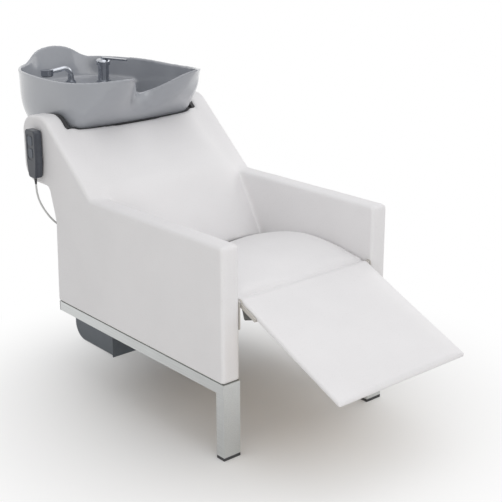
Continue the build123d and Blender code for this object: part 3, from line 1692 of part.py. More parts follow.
with BuildPart() as mixer_lever:
    lever_under = lever_pin_below_top + lever_lift_above_dome
    with BuildSketch(lever_side):
        with Locations((0, (lever_under + lever_thickness - lever_pin_radius) / 2)):
            Rectangle(
                2 * lever_tongue_half_length,
                lever_under + lever_thickness + lever_pin_radius,
            )
        with Locations((0, -lever_pin_radius / 2)):
            Circle(lever_tongue_half_length)
    extrude(amount=lever_tongue_width / 2, both=True)
    with BuildSketch(lever_side):
        Circle(lever_pin_radius)
    extrude(amount=lever_pin_half_length, both=True)
    with BuildSketch(lever_plan):
        with BuildLine():
            FilletPolyline(
                (lever_plate_start, -lever_root_width / 2),
                (lever_length, -lever_tip_width / 2),
                (lever_length, lever_tip_width / 2),
                (lever_plate_start, lever_root_width / 2),
                radius=(0, lever_tip_width / 3, lever_tip_width / 3, 0),
                close=True,
            )
        make_face()
    extrude(amount=lever_thickness)
finish(mixer_lever, "mixer_lever")

# Hand shower in its socket
socket_top = deck_height + socket_height
with BuildPart() as shower_socket:
    with BuildSketch(Plane.XY.offset(deck_height)):
        with Locations((shower_x, shower_y)):
            Circle(socket_radius)
    extrude(amount=socket_height)
    with BuildSketch(Plane.XY.offset(deck_height)):
        with Locations((shower_x, shower_y)):
            Circle(socket_shank_radius)
    extrude(amount=-socket_shank_length)
    with BuildSketch(Plane.XY.offset(deck_height - socket_shank_length - cut_overrun)):
        with Locations((shower_x, shower_y)):
            Circle(socket_bore_radius)
    extrude(
        amount=socket_height + socket_shank_length + 2 * cut_overrun, mode=Mode.SUBTRACT
    )
finish(shower_socket, "shower_socket")

head_x = shower_x - shower_neck_reach
head_y = shower_y + shower_neck_swing
head_middle = shower_neck_top - shower_neck_fall
head_low = head_middle - shower_head_height / 2
with BuildPart() as shower_handle:
    with BuildSketch(Plane.XY.offset(socket_top)):
        with Locations((shower_x, shower_y)):
            Circle(shower_grip_radius)
    extrude(amount=shower_grip_above)
    with BuildSketch(Plane.XY.offset(socket_top)):
        with Locations((shower_x, shower_y)):
            Circle(shower_grip_radius)
    extrude(amount=-shower_grip_below)
    with BuildSketch(Plane.XY.offset(socket_top)):
        with Locations((shower_x, shower_y)):
            Circle(shower_collar_radius)
    extrude(amount=shower_collar_height)
    with BuildLine() as neck_line:
        FilletPolyline(
            (shower_x, shower_y, socket_top + shower_grip_above - cut_overrun),
            (shower_x, shower_y, shower_neck_top),
            (head_x, head_y, head_middle),
            radius=shower_neck_bend,
        )
    with BuildSketch(Plane.XY.offset(socket_top + shower_grip_above - cut_overrun)):
        with Locations((shower_x, shower_y)):
            Circle(shower_neck_radius)
    sweep(path=neck_line.wires()[0])
    with BuildSketch(Plane.XY.offset(head_low)):
        with Locations((head_x, head_y)):
            Circle(shower_head_radius)
    extrude(amount=shower_head_height)
finish(shower_handle, "shower_handle")

with BuildPart() as shower_face:
    with BuildSketch(Plane.XY.offset(head_low)):
        with Locations((head_x, head_y)):
            Circle(shower_face_radius)
    extrude(amount=-shower_face_thickness)
finish(shower_face, "shower_face")

# Stop valves and waste socket on the base plate
with BuildPart() as stop_valves:
    for sign in (-1, 1):
        centre = (sign * valve_spacing / 2, 0)
        with BuildSketch():
            with Locations(centre):
                Circle(valve_radius)
        extrude(amount=valve_height)
        with BuildSketch(Plane.XY.offset(base_plate_thickness)):
            with Locations(centre):
                Circle(valve_collar_radius)
        extrude(amount=valve_collar_height)
        with BuildSketch(Plane.XY.offset(valve_height)):
            with Locations(centre):
                Circle(valve_thread_radius)
        extrude(amount=valve_thread_length)
        with BuildSketch():
            with Locations(centre):
                Circle(valve_inlet_radius)
        extrude(amount=valve_thread_length, mode=Mode.SUBTRACT)
        knob_plane = Plane(
            origin=(centre[0] + sign * valve_radius / 2, 0, valve_knob_height),
            x_dir=(0, 1, 0),
            z_dir=(sign, 0, 0),
        )
        with BuildSketch(knob_plane):
            Circle(valve_thread_radius / 2)
        extrude(amount=valve_radius + valve_knob_length)
        with BuildSketch(knob_plane.offset(valve_radius)):
            Circle(valve_knob_radius)
        extrude(amount=valve_knob_length)
finish(stop_valves, "stop_valves")

with BuildPart() as waste_socket:
    with BuildSketch():
        with Locations((0, waste_rear_of_centre)):
            Circle(waste_radius)
    extrude(amount=waste_height)
    with BuildSketch(Plane.XY.offset(base_plate_thickness)):
        with Locations((0, waste_rear_of_centre)):
            Circle(waste_radius + waste_collar_width)
    extrude(amount=valve_collar_height)
    with BuildSketch(Plane.XY.offset(-cut_overrun)):
        with Locations((0, waste_rear_of_centre)):
            Circle(waste_bore_radius)
    extrude(amount=waste_height + 2 * cut_overrun, mode=Mode.SUBTRACT)
finish(waste_socket, "waste_socket")

# Handset: two shells, two buttons, holder and strain relief
handset_back_x = -half_width - handset_gap_to_panel
handset_split_x = handset_back_x - handset_split
handset_front_x = handset_back_x - handset_thickness
handset_outline = (
    side(handset_back_centre - handset_half_width, handset_top),
    side(handset_back_centre + handset_half_width, handset_top),
    side(handset_back_centre + handset_half_width, handset_shoulder),
    side(handset_back_centre + handset_foot_half_width, handset_bottom),
    side(handset_back_centre - handset_foot_half_width, handset_bottom),
    side(handset_back_centre - handset_half_width, handset_shoulder),
)
handset_radii = (
    handset_corner_radius,
    handset_corner_radius,
    2 * handset_half_width,
    handset_corner_radius,
    handset_corner_radius,
    2 * handset_half_width,
)
hook_inner_x = -half_width - holder_plate_thickness
hook_outer_x = hook_inner_x - hook_reach
catch_outer_x = hook_outer_x + hook_lip + hook_gap
with BuildPart() as handset_back:
    with BuildSketch(side_plane(handset_back_x)):
        with BuildLine():
            FilletPolyline(*handset_outline, radius=handset_radii, close=True)
        make_face()
    extrude(amount=-handset_split)
    outer_face = handset_back.faces().sort_by(Axis.X)[-1]
    fillet(outer_face.edges(), handset_edge_radius)
    entry_low = hook_low - handset_lift - hook_clearance
    with BuildSketch(side_plane(handset_back_x)):
        with Locations(side(handset_back_centre, (entry_low + hook_floor) / 2)):
            Rectangle(hook_width + 2 * hook_clearance, hook_floor - entry_low)
    extrude(amount=-(handset_back_x - hook_outer_x + hook_clearance), mode=Mode.SUBTRACT)
    with BuildSketch(side_plane(catch_outer_x)):
        with Locations(side(handset_back_centre, (entry_low + hook_top + hook_clearance) / 2)):
            Rectangle(
                hook_width + 2 * hook_clearance, hook_top + hook_clearance - entry_low
            )
    extrude(amount=-(catch_outer_x - hook_outer_x + hook_clearance), mode=Mode.SUBTRACT)
finish(handset_back, "handset_back")

with BuildPart() as handset_front:
    with BuildSketch(side_plane(handset_split_x)):
        with BuildLine():
            FilletPolyline(*handset_outline, radius=handset_radii, close=True)
        make_face()
    extrude(amount=handset_split - handset_thickness)
    outer_face = handset_front.faces().sort_by(Axis.X)[0]
    fillet(outer_face.edges(), handset_edge_radius)
    with BuildSketch(side_plane(handset_front_x)):
        with Locations(side(handset_back_centre, (keypad_low + keypad_high) / 2)):
            RectangleRounded(
                2 * keypad_half_width, keypad_high - keypad_low, keypad_corner_radius
            )
    extrude(amount=keypad_depth, mode=Mode.SUBTRACT)
    with BuildSketch(side_plane(handset_front_x)):
        for height in (button_up_height, button_down_height):
            with Locations(side(handset_back_centre, height)):
                RectangleRounded(
                    button_width + 2 * button_gap,
                    button_height + 2 * button_gap,
                    button_corner_radius,
                )
    extrude(amount=keypad_depth + button_well_depth, mode=Mode.SUBTRACT)
finish(handset_front, "handset_front")

button_inner_x = handset_front_x + keypad_depth + button_well_depth - button_travel - soft_gap
button_outer_x = handset_front_x + keypad_depth - button_rise
for name, height in (("button_up", button_up_height), ("button_down", button_down_height)):
    with BuildPart() as button:
        with BuildSketch(side_plane(button_inner_x)):
            with Locations(side(handset_back_centre, height)):
                RectangleRounded(button_width, button_height, button_corner_radius)
        extrude(amount=button_outer_x - button_inner_x)
    finish(button, name)

with BuildPart() as handset_holder:
    with BuildSketch(side_plane(-half_width)):
        with Locations(side(handset_back_centre, (holder_plate_low + holder_plate_high) / 2)):
            RectangleRounded(
                holder_plate_width,
                holder_plate_high - holder_plate_low,
                handset_edge_radius,
            )
    extrude(amount=-holder_plate_thickness)
    with BuildSketch(side_plane(hook_inner_x)):
        with Locations(side(handset_back_centre, (hook_low + hook_floor) / 2)):
            Rectangle(hook_width, hook_floor - hook_low)
    extrude(amount=-hook_reach)
    with BuildSketch(side_plane(hook_outer_x)):
        with Locations(side(handset_back_centre, (hook_low + hook_top) / 2)):
            Rectangle(hook_width, hook_top - hook_low)
    extrude(amount=hook_lip)
finish(handset_holder, "handset_holder")

relief_x = -half_width - relief_depth_from_panel
relief_y = front_y + handset_back_centre
with BuildPart() as handset_strain_relief:
    with BuildSketch(Plane.XY.offset(handset_bottom)):
        with Locations((relief_x, relief_y)):
            Circle(relief_top_radius)
    with BuildSketch(Plane.XY.offset(handset_bottom - relief_length)):
        with Locations((relief_x, relief_y)):
            Circle(relief_end_radius)
    loft()
finish(handset_strain_relief, "handset_strain_relief")

# Gland on the back sheet, and the handset's cable between relief and gland
gland_plane = Plane(
    origin=(-gland_side, sheet_front + sheet_thickness, gland_height),
    x_dir=(-1, 0, 0),
    z_dir=(0, 1, 0),
)
with BuildPart() as cable_gland:
    with BuildSketch(gland_plane):
        Circle(gland_flange_radius)
    extrude(amount=gland_flange_thickness)
    with BuildSketch(gland_plane):
        Circle(gland_end_radius + cut_overrun)
    extrude(amount=gland_flange_thickness + gland_length)
    with BuildSketch(gland_plane):
        Circle(gland_tail_radius)
    extrude(amount=-gland_tail_length)
finish(cable_gland, "cable_gland")

cable_points = [
    (-reach, front_y + back, height)
    for reach, back, height in zip(cable_side_reaches, cable_backs, cable_heights)
]
cable_vectors = [Vector(*point) for point in cable_points]
cable_radii = []
for before, corner, after in zip(cable_vectors, cable_vectors[1:], cable_vectors[2:]):
    arriving = corner - before
    leaving = after - corner
    half_turn = radians(arriving.get_angle(leaving)) / 2
    cable_radii.append(bend_share * min(arriving.length, leaving.length) / tan(half_turn))
print("cable bend radii", [round(radius) for radius in cable_radii])
with BuildPart() as handset_cable:
    with BuildLine() as cable_line:
        FilletPolyline(*cable_points, radius=cable_radii)
    with BuildSketch(Plane.XY.offset(cable_heights[0])):
        with Locations((cable_points[0][0], cable_points[0][1])):
            Circle(cable_radius)
    sweep(path=cable_line.wires()[0])
finish(handset_cable, "handset_cable")
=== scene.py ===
import json
import math
import bmesh
import bpy
import numpy as np
from mathutils import Matrix, Vector
from mathutils.bvhtree import BVHTree


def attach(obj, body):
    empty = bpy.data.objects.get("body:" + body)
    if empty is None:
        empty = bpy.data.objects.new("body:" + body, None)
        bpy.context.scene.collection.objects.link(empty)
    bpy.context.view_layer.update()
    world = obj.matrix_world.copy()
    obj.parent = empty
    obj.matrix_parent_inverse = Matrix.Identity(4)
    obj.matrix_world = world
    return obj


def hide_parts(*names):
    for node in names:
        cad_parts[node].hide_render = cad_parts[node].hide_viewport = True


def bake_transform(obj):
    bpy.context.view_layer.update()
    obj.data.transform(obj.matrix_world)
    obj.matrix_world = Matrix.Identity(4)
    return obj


# Hair washing bed, dressed in Blender. Lengths are in metres, or in mm where a name ends in _MM.
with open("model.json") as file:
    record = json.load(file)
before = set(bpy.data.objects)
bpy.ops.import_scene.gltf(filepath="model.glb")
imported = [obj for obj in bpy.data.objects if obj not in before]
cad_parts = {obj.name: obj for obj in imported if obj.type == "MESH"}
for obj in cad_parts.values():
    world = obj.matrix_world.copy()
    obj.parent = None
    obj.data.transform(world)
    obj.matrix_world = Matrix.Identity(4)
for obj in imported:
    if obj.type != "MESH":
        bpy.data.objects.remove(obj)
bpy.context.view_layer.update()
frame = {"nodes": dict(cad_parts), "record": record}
nodes = frame["nodes"]
scene = bpy.context.scene
scene.view_settings.view_transform = "Standard"

# Places that several pieces share, in the CAD source's measures
MM_PER_METRE = 1000
FRONT_MM = -899.0                 # y of the side panels' front face
PANEL_INNER_MM = 259.0            # x of a side panel's inner face
ARM_END_MM = (643.0, 628.0)       # back and height where an arm meets the slope
HEAD_PEAK_MM = (902.0, 852.0)     # back and height of the head's corner
HINGE_MM = (9.5, 466.4)           # back and height of the leg rest's hinge
LEG_DROP = math.radians(23.3)     # angle of the leg rest below level, at rest


def at(x, back, height):
    """A point from x, the distance behind the front face and the height, all in mm."""
    return Vector((x / MM_PER_METRE, (FRONT_MM + back) / MM_PER_METRE, height / MM_PER_METRE))


def measures(points):
    """Distance from the middle plane, distance behind the front face and height of points, in mm."""
    across, back, height = np.abs(points[:, 0]), points[:, 1], points[:, 2]
    return across * MM_PER_METRE, back * MM_PER_METRE - FRONT_MM, height * MM_PER_METRE


def slope_height(back):
    """Height in mm of the panels' sloped edge at a distance back."""
    rise = (HEAD_PEAK_MM[1] - ARM_END_MM[1]) / (HEAD_PEAK_MM[0] - ARM_END_MM[0])
    return ARM_END_MM[1] + rise * (back - ARM_END_MM[0])


def smooth_step(value, low, high):
    """Zero below low, one above high, and a smooth rise between."""
    share = np.clip((value - low) / (high - low), 0.0, 1.0)
    return share * share * (3 - 2 * share)


def band(value, rise, fall):
    """One between a rise and a fall, each a pair of where it starts and where it ends."""
    return smooth_step(value, *rise) * (1 - smooth_step(value, *fall))


# Materials: node trees with textures in the object's own metres
TONE_STOPS = (0.3, 0.7)           # noise values where a tone starts and ends
HIGHLIGHT_CURVATURE = (0.52, 0.62)     # pointiness where the painted edge highlight starts and where it is full
PORE_STOPS = (0.28, 0.42)         # noise values where a pore is darkest and where it ends
WHITE = (1.0, 1.0, 1.0)
FIBRE_STRETCH = (1.0, 0.12, 1.0)  # draws a grain out along y
BRUSH_STRETCH = (1.0, 0.03, 1.0)


def fill_inputs(tree, node, values):
    """Sets a node's inputs by name or number, and links those whose value is a socket."""
    for key, value in values.items():
        if isinstance(value, bpy.types.NodeSocket):
            tree.links.new(value, node.inputs[key])
        else:
            node.inputs[key].default_value = value


def add_node(tree, kind, inputs, **settings):
    """A new shader node. Its settings go first, because they can decide which inputs it has."""
    node = tree.nodes.new("ShaderNode" + kind)
    for name, value in settings.items():
        setattr(node, name, value)
    fill_inputs(tree, node, inputs)
    return node


def new_material(name):
    """A node material that holds only its shader and its output."""
    material = bpy.data.materials.new(name)
    material.use_nodes = True
    tree = material.node_tree
    tree.nodes.clear()
    shader = add_node(tree, "BsdfPrincipled", {})
    add_node(tree, "OutputMaterial", {"Surface": shader.outputs[0]})
    return material, tree, shader


def object_place(tree):
    """The place on the object that textures follow."""
    return add_node(tree, "TexCoord", {}).outputs["Object"]


def noise(tree, place, scale, detail, rough=0.55, stretch=None):
    """A noise value over the object, drawn out along an axis where stretch says so."""
    if stretch:
        place = add_node(tree, "Mapping", {"Vector": place, "Scale": stretch}).outputs[0]
    values = {"Vector": place, "Scale": scale, "Detail": detail, "Roughness": rough}
    return add_node(tree, "TexNoise", values).outputs["Fac"]


def ramp(tree, value, stops):
    """A colour ramp over a value, from pairs of place and colour."""
    node = add_node(tree, "ValToRGB", {"Fac": value})
    elements = node.color_ramp.elements
    while len(elements) < len(stops):
        elements.new(0.5)         # its place is set below
    for element, (place, colour) in zip(elements, stops):
        element.position = place
        element.color = (*colour, 1)
    return node.outputs[0]


def tint(colour, factor):
    return tuple(max(0.0, min(1.0, value * factor)) for value in colour)


def cloudy(tree, value, base, shade):
    """The base colour, shaded where a noise value is low."""
    low, high = TONE_STOPS
    return ramp(tree, value, [(low, tint(base, shade)), (high, base)])


def spread(tree, value, low, high):
    """A value from zero to one, moved to lie between low and high."""
    return add_node(tree, "MapRange", {"Value": value, "To Min": low, "To Max": high}).outputs[0]


def bump(tree, height, strength, distance, below=None):
    """A relief from a height value, on top of another relief where one is given."""
    values = {"Height": height, "Strength": strength, "Distance": distance}
    if below is not None:
        values["Normal"] = below
    return add_node(tree, "Bump", values).outputs[0]


def mix(tree, factor, first, second, blend_type="MIX"):
    values = {"Factor": factor, "A": first, "B": second}
    return add_node(tree, "Mix", values, data_type="RGBA", blend_type=blend_type).outputs["Result"]


def paint_edge_highlight(tree, colour, edge_highlight, amount):
    """Mixes a lighter colour over sharp edges, found from the surface's own curvature: a painted highlight
    where the edges catch light.
    """
    curvature = add_node(tree, "NewGeometry", {}).outputs["Pointiness"]
    start, full = HIGHLIGHT_CURVATURE
    values = {"Value": curvature, "From Min": start, "From Max": full, "To Max": amount}
    edge = add_node(tree, "MapRange", values).outputs[0]
    return mix(tree, factor=edge, first=colour, second=(*edge_highlight, 1))


def leather(name, base, fold):
    """Smooth upholstery hide: pebble grain, slow tone changes, pores and soft stretch marks."""
    material, tree, shader = new_material(name)
    place = object_place(tree)
    slow = noise(tree, place, scale=4.0, detail=3.0)
    pore = noise(tree, place, scale=260.0, detail=3.0, rough=0.6)
    pull = noise(tree, place, scale=26.0, detail=5.0, rough=0.6)
    grain = add_node(tree, "TexVoronoi", {"Vector": place, "Scale": 750.0}).outputs["Distance"]
    tone = cloudy(tree, slow, base, shade=0.955)
    darkest, clear = PORE_STOPS
    pores = ramp(tree, pore, [(darkest, tint(fold, factor=0.97)), (clear, WHITE)])
    marks = bump(tree, pull, strength=0.09, distance=0.0014)
    fill_inputs(tree, shader, {
        "Base Color": mix(tree, factor=0.35, first=tone, second=pores, blend_type="MULTIPLY"),
        "Roughness": spread(tree, pull, low=0.4, high=0.56),
        "Normal": bump(tree, grain, strength=0.25, distance=0.0004, below=marks),
        "Specular IOR Level": 0.4,
        "Sheen Weight": 0.06,
        "Sheen Roughness": 0.5,
    })
    return material


def metal(name, base, rough, metallic=1.0, scale=60.0, stretch=None, dent=0.03, edge_highlight=None):
    """Metal or painted metal: brushed or cloudy tone, uneven roughness, light dents and, where asked, a
    painted highlight on sharp edges.
    """
    material, tree, shader = new_material(name)
    grain = noise(tree, object_place(tree), scale, detail=5.0, rough=0.6, stretch=stretch)
    colour = cloudy(tree, grain, base, shade=0.86)
    # lighter sharp edges: a painted highlight
    if edge_highlight:
        colour = paint_edge_highlight(tree, colour, edge_highlight, amount=0.35)
    fill_inputs(tree, shader, {
        "Base Color": colour,
        "Roughness": spread(tree, grain, *rough),
        "Normal": bump(tree, grain, strength=dent, distance=0.0004),
        "Metallic": metallic,
    })
    return material


def plastic(name, base, rough=(0.3, 0.45), grain=900.0, depth=0.15, coat=0.0, shade=0.9, edge_highlight=None):
    """Moulded plastic: spark-eroded grain, slow tone changes and, where asked, a painted highlight on
    sharp edges.
    """
    material, tree, shader = new_material(name)
    place = object_place(tree)
    slow = noise(tree, place, scale=9.0, detail=3.0)
    fine = noise(tree, place, scale=grain, detail=2.0)
    colour = cloudy(tree, slow, base, shade)
    # lighter sharp edges: a painted highlight
    if edge_highlight:
        colour = paint_edge_highlight(tree, colour, edge_highlight, amount=0.5)
    fill_inputs(tree, shader, {
        "Base Color": colour,
        "Roughness": spread(tree, slow, *rough),
        "Normal": bump(tree, fine, strength=depth, distance=0.0002),
        "Coat Weight": coat,
        "Coat Roughness": 0.06,
    })
    return material


def wood(name, base):
    """Birch plywood: long fibres with darker streaks."""
    material, tree, shader = new_material(name)
    fibre = noise(tree, object_place(tree), scale=14.0, detail=6.0, rough=0.6, stretch=FIBRE_STRETCH)
    streaks = [(0.25, tint(base, 0.72)), (0.5, base), (0.8, tint(base, 1.12))]
    fill_inputs(tree, shader, {
        "Base Color": ramp(tree, fibre, streaks),
        "Roughness": spread(tree, fibre, low=0.55, high=0.75),
        "Normal": bump(tree, fibre, strength=0.2, distance=0.0006),
    })
    return material


RUBBER = {"rough": (0.6, 0.75), "grain": 500.0, "depth": 0.3}
POWDER_COAT = {"metallic": 0.0, "dent": 0.1}
MATERIALS = {
    "frame_aluminium": metal(
        "satin_aluminium", (0.66, 0.675, 0.67), rough=(0.3, 0.44),
        metallic=0.9, scale=260.0, stretch=BRUSH_STRETCH, dent=0.05,
    ),
    "black_rubber": plastic("black_rubber", (0.05, 0.05, 0.053), **RUBBER),
    "grey_rubber": plastic("grey_rubber", (0.2, 0.205, 0.19), **RUBBER),
    "black_plastic": plastic("black_plastic", (0.03, 0.03, 0.034), rough=(0.4, 0.55)),
    "plywood": wood("birch_plywood", (0.62, 0.47, 0.3)),
    "panel_leather": leather("panel_hide", (0.8, 0.79, 0.775), fold=(0.86, 0.84, 0.8)),
    "cushion_leather": leather("cushion_hide", (0.845, 0.835, 0.837), fold=(0.88, 0.87, 0.86)),
    "black_steel": metal(
        "black_powder_coat", (0.03, 0.03, 0.034), rough=(0.45, 0.6), scale=400.0, **POWDER_COAT
    ),
    "pale_steel": metal(
        "cream_powder_coat", (0.6, 0.575, 0.53), rough=(0.42, 0.55), scale=400.0, **POWDER_COAT
    ),
    "bright_steel": metal("zinc_steel", (0.6, 0.6, 0.62), rough=(0.22, 0.36)),
    # its lighter edge colour is a painted highlight
    "column_grey": metal(
        "grey_powder_coat", (0.092, 0.108, 0.126), rough=(0.36, 0.5), scale=500.0,
        edge_highlight=(0.2, 0.22, 0.24), **POWDER_COAT,
    ),
    "motor_grey": plastic("motor_grey", (0.26, 0.27, 0.28)),
    # its lighter edge colour is a painted highlight on the rim
    "bowl_grey": plastic(
        "bowl_enamel", (0.365, 0.38, 0.41), rough=(0.14, 0.2), grain=40.0, depth=0.02,
        coat=0.7, shade=0.97, edge_highlight=(0.5, 0.52, 0.56),
    ),
    "chrome": metal("chrome", (0.5, 0.52, 0.56), rough=(0.06, 0.14)),
    "dark_plastic": plastic("dark_plastic", (0.04, 0.04, 0.044)),
    # its lighter edge colour is a painted highlight on the rounded sides
    "handset_grey": plastic(
        "handset_shell", (0.036, 0.042, 0.055), rough=(0.26, 0.38), depth=0.12,
        coat=0.15, edge_highlight=(0.12, 0.13, 0.15),
    ),
    "button_grey": plastic("button_rubber", (0.11, 0.125, 0.15), rough=(0.4, 0.55), depth=0.1),
    "cable_grey": plastic("cable_sheath", (0.6, 0.6, 0.59), rough=(0.45, 0.6)),
}
for part in frame["record"]["subparts"]:
    node = nodes[part["node"]]
    node.data.materials.clear()
    node.data.materials.append(MATERIALS[part["material_slot"]])

# Camera
CAMERA_PLACE = (-2.1316, -3.1518, 1.6261)
CAMERA_AZIMUTH = math.radians(-40.3513)
CAMERA_ELEVATION = math.radians(18.9499)
CAMERA_ROLL = math.radians(-0.1622)
CAMERA_LENS_MM = 82.204
CAMERA_SENSOR_MM = 36.0
CAMERA_REACH = 60.0
camera = bpy.data.objects.new("camera", bpy.data.cameras.new("camera"))
scene.collection.objects.link(camera)
camera.data.sensor_width = CAMERA_SENSOR_MM
camera.data.lens = CAMERA_LENS_MM
camera.data.clip_end = CAMERA_REACH
turn = Matrix.Rotation(CAMERA_AZIMUTH, 4, "Z")
tip = Matrix.Rotation(math.pi / 2 - CAMERA_ELEVATION, 4, "X")
roll = Matrix.Rotation(CAMERA_ROLL, 4, "Z")
camera.matrix_world = Matrix.Translation(CAMERA_PLACE) @ turn @ tip @ roll
scene.camera = camera

# Floor and background, white to the camera and to mirrors
FLOOR_COLOUR = (0.86, 0.855, 0.84)
FLOOR_CENTRE = (-0.05, -0.62, 0.0)
FLOOR_NEAR = 0.2                  # distance from the centre where the floor starts to turn white
FLOOR_FAR = 1.12                  # distance where it is all white
FLOOR_HALF = 12.0
FLOOR_DROP = 0.0004               # keeps the floor's face off the feet's
WORLD_COLOUR = (0.985, 0.985, 1.0)
WORLD_STRENGTH = 0.62


def seen_share(tree):
    """One for camera, glossy and transmission rays, zero for the rays that light the object."""
    path = add_node(tree, "LightPath", {})
    value = path.outputs["Is Camera Ray"]
    for name in ("Is Glossy Ray", "Is Transmission Ray"):
        value = add_node(tree, "Math", {0: value, 1: path.outputs[name]}, operation="MAXIMUM").outputs[0]
    return value


def studio_floor():
    """A pale floor that takes the shadow near the object and is seen as white further out."""
    material, tree, shader = new_material("studio_floor")
    values = {"Base Color": (*FLOOR_COLOUR, 1), "Roughness": 0.7, "Specular IOR Level": 0.1}
    fill_inputs(tree, shader, values)
    place = add_node(tree, "NewGeometry", {}).outputs["Position"]
    offset = add_node(tree, "VectorMath", {0: place, 1: FLOOR_CENTRE}, operation="DISTANCE")
    values = {"Value": offset.outputs["Value"], "From Min": FLOOR_NEAR, "From Max": FLOOR_FAR}
    fade = add_node(tree, "MapRange", values, interpolation_type="SMOOTHSTEP")
    share = add_node(tree, "Math", {0: fade.outputs[0], 1: seen_share(tree)}, operation="MULTIPLY")
    white = add_node(tree, "Emission", {})
    both = add_node(tree, "MixShader", {0: share.outputs[0], 1: shader.outputs[0], 2: white.outputs[0]})
    fill_inputs(tree, tree.nodes["Material Output"], {"Surface": both.outputs[0]})
    return material


floor = bpy.data.objects.new("floor", bpy.data.meshes.new("floor"))
corners = [(x * FLOOR_HALF, y * FLOOR_HALF, 0) for x, y in ((-1, -1), (1, -1), (1, 1), (-1, 1))]
floor.data.from_pydata(corners, [], [(0, 1, 2, 3)])
floor.data.materials.append(studio_floor())
floor.location = (0, 0, -FLOOR_DROP)
scene.collection.objects.link(floor)

world = bpy.data.worlds.new("world")
scene.world = world
world.use_nodes = True
sky = world.node_tree
sky.nodes.clear()
lit = add_node(sky, "Background", {"Color": (*WORLD_COLOUR, 1), "Strength": WORLD_STRENGTH})
seen = add_node(sky, "Background", {"Color": (*WHITE, 1)})
both = add_node(sky, "MixShader", {0: seen_share(sky), 1: lit.outputs[0], 2: seen.outputs[0]})
add_node(sky, "OutputWorld", {"Surface": both.outputs[0]})


def lamp(name, place, aim, size, power, colour):
    """A soft rectangular lamp that looks at a point."""
    data = bpy.data.lights.new(name, "AREA")
    data.shape = "RECTANGLE"
    data.size, data.size_y = size
    data.energy = power
    data.color = colour
    item = bpy.data.objects.new(name, data)
    scene.collection.objects.link(item)
    item.location = place
    item.rotation_euler = (Vector(aim) - Vector(place)).to_track_quat("-Z", "Y").to_euler()


lamp(
    "key_above", place=(0.35, -0.9, 3.7), aim=(0, -0.4, 0.4), size=(2.8, 2.4),
    power=20, colour=(0.985, 0.985, 1.0),
)
lamp(
    "side_right", place=(3.2, -0.6, 1.9), aim=(0, -0.4, 0.5), size=(2.4, 2.0),
    power=18, colour=(1.0, 0.985, 0.975),
)
lamp(
    "front_fill", place=(-0.9, -3.7, 1.5), aim=(0, -0.3, 0.55), size=(2.2, 1.8),
    power=14, colour=(0.99, 0.985, 1.0),
)
lamp(
    "side_left", place=(-2.6, -2.6, 1.6), aim=(0, -0.4, 0.5), size=(2.4, 2.0),
    power=11, colour=(1.0, 0.975, 0.93),
)


# Mesh tools
def new_object(name, mesh, material):
    item = bpy.data.objects.new(name, mesh)
    scene.collection.objects.link(item)
    item.data.materials.clear()
    item.data.materials.append(material)
    return item


def apply_modifiers(item):
    """Turns an object's modifiers into its own mesh."""
    graph = bpy.context.evaluated_depsgraph_get()
    graph.update()
    mesh = bpy.data.meshes.new_from_object(item.evaluated_get(graph))
    old = item.data
    item.modifiers.clear()
    item.data = mesh
    mesh.name = item.name
    bpy.data.meshes.remove(old)


def remesh(item, voxel):
    """Rebuilds a closed form with an even skin of small faces."""
    modifier = item.modifiers.new("remesh", "REMESH")
    modifier.mode = "VOXEL"
    modifier.voxel_size = voxel
    apply_modifiers(item)


def read_points(item):
    points = np.empty(len(item.data.vertices) * 3)
    item.data.vertices.foreach_get("co", points)
    return points.reshape(-1, 3)


def write_points(item, points):
    item.data.vertices.foreach_set("co", points.ravel())
    item.data.update()


def relax(item, weight, rounds, pull=0.5):
    """Draws each vertex towards the middle of its neighbours, as far as its weight says."""
    points = read_points(item)
    edges = np.empty(len(item.data.edges) * 2, dtype=np.int64)
    item.data.edges.foreach_get("vertices", edges)
    first, second = edges.reshape(-1, 2).T
    count = len(points)
    degree = np.maximum(np.bincount(edges, minlength=count), 1)[:, None]
    share = pull * (weight(points)[:, None] if weight else np.ones((count, 1)))
    for _ in range(rounds):
        total = np.empty_like(points)
        for axis in range(3):
            column = points[:, axis]
            total[:, axis] = np.bincount(first, column[second], count)
            total[:, axis] += np.bincount(second, column[first], count)
        points += share * (total / degree - points)
    write_points(item, points)


NO_MOVE = 1e-9                    # stands in for a length of zero in a division
SWELL_SLACK = 0.0002              # how far a point may move where its pad doesn't swell


def inflate(item, limit, pressure=4.0, frames=20):
    """Swells a padded form with cloth pressure, each point no further than limit(point, normal)."""
    start = read_points(item)
    normals = np.array([vertex.normal[:] for vertex in item.data.vertices])
    cloth = item.modifiers.new("cloth", "CLOTH")
    cloth.settings.quality = 3
    cloth.settings.use_pressure = True
    cloth.settings.uniform_pressure_force = pressure
    cloth.settings.effector_weights.gravity = 0.0
    cloth.settings.tension_stiffness = 12.0
    cloth.settings.bending_stiffness = 0.6
    cloth.collision_settings.use_collision = False
    cloth.point_cache.frame_start = 1
    cloth.point_cache.frame_end = frames
    for number in range(1, frames + 1):
        scene.frame_set(number)
    apply_modifiers(item)
    scene.frame_set(1)
    move = read_points(item) - start
    length = np.maximum(np.linalg.norm(move, axis=1), NO_MOVE)
    allowed = limit(start, normals)
    write_points(item, start + move * np.minimum(1.0, allowed / length)[:, None])


def swell_limit(swells, height, fade):
    """A limit for inflate: the height where the normals swell, less towards the pad's side edges."""
    def limit(points, normals):
        middle = 1 - smooth_step(np.abs(points[:, 0]), *fade)
        return np.where(swells(normals), height * middle, 0.0) + SWELL_SLACK
    return limit


def shade_smooth(item):
    item.data.polygons.foreach_set("use_smooth", [True] * len(item.data.polygons))
    item.data.update()


def subdivide(item):
    modifier = item.modifiers.new("round", "SUBSURF")
    modifier.levels = 1
    modifier.render_levels = 1


def joined(name, items, material):
    """One object that holds the faces of several, which are deleted."""
    gathered = bmesh.new()
    for item in items:
        gathered.from_mesh(item.data)
    mesh = bpy.data.meshes.new(name)
    gathered.to_mesh(mesh)
    gathered.free()
    for item in items:
        bpy.data.objects.remove(item)
    return new_object(name, mesh, material)


def copied(node, name, material):
    return new_object(name, nodes[node].data.copy(), material)


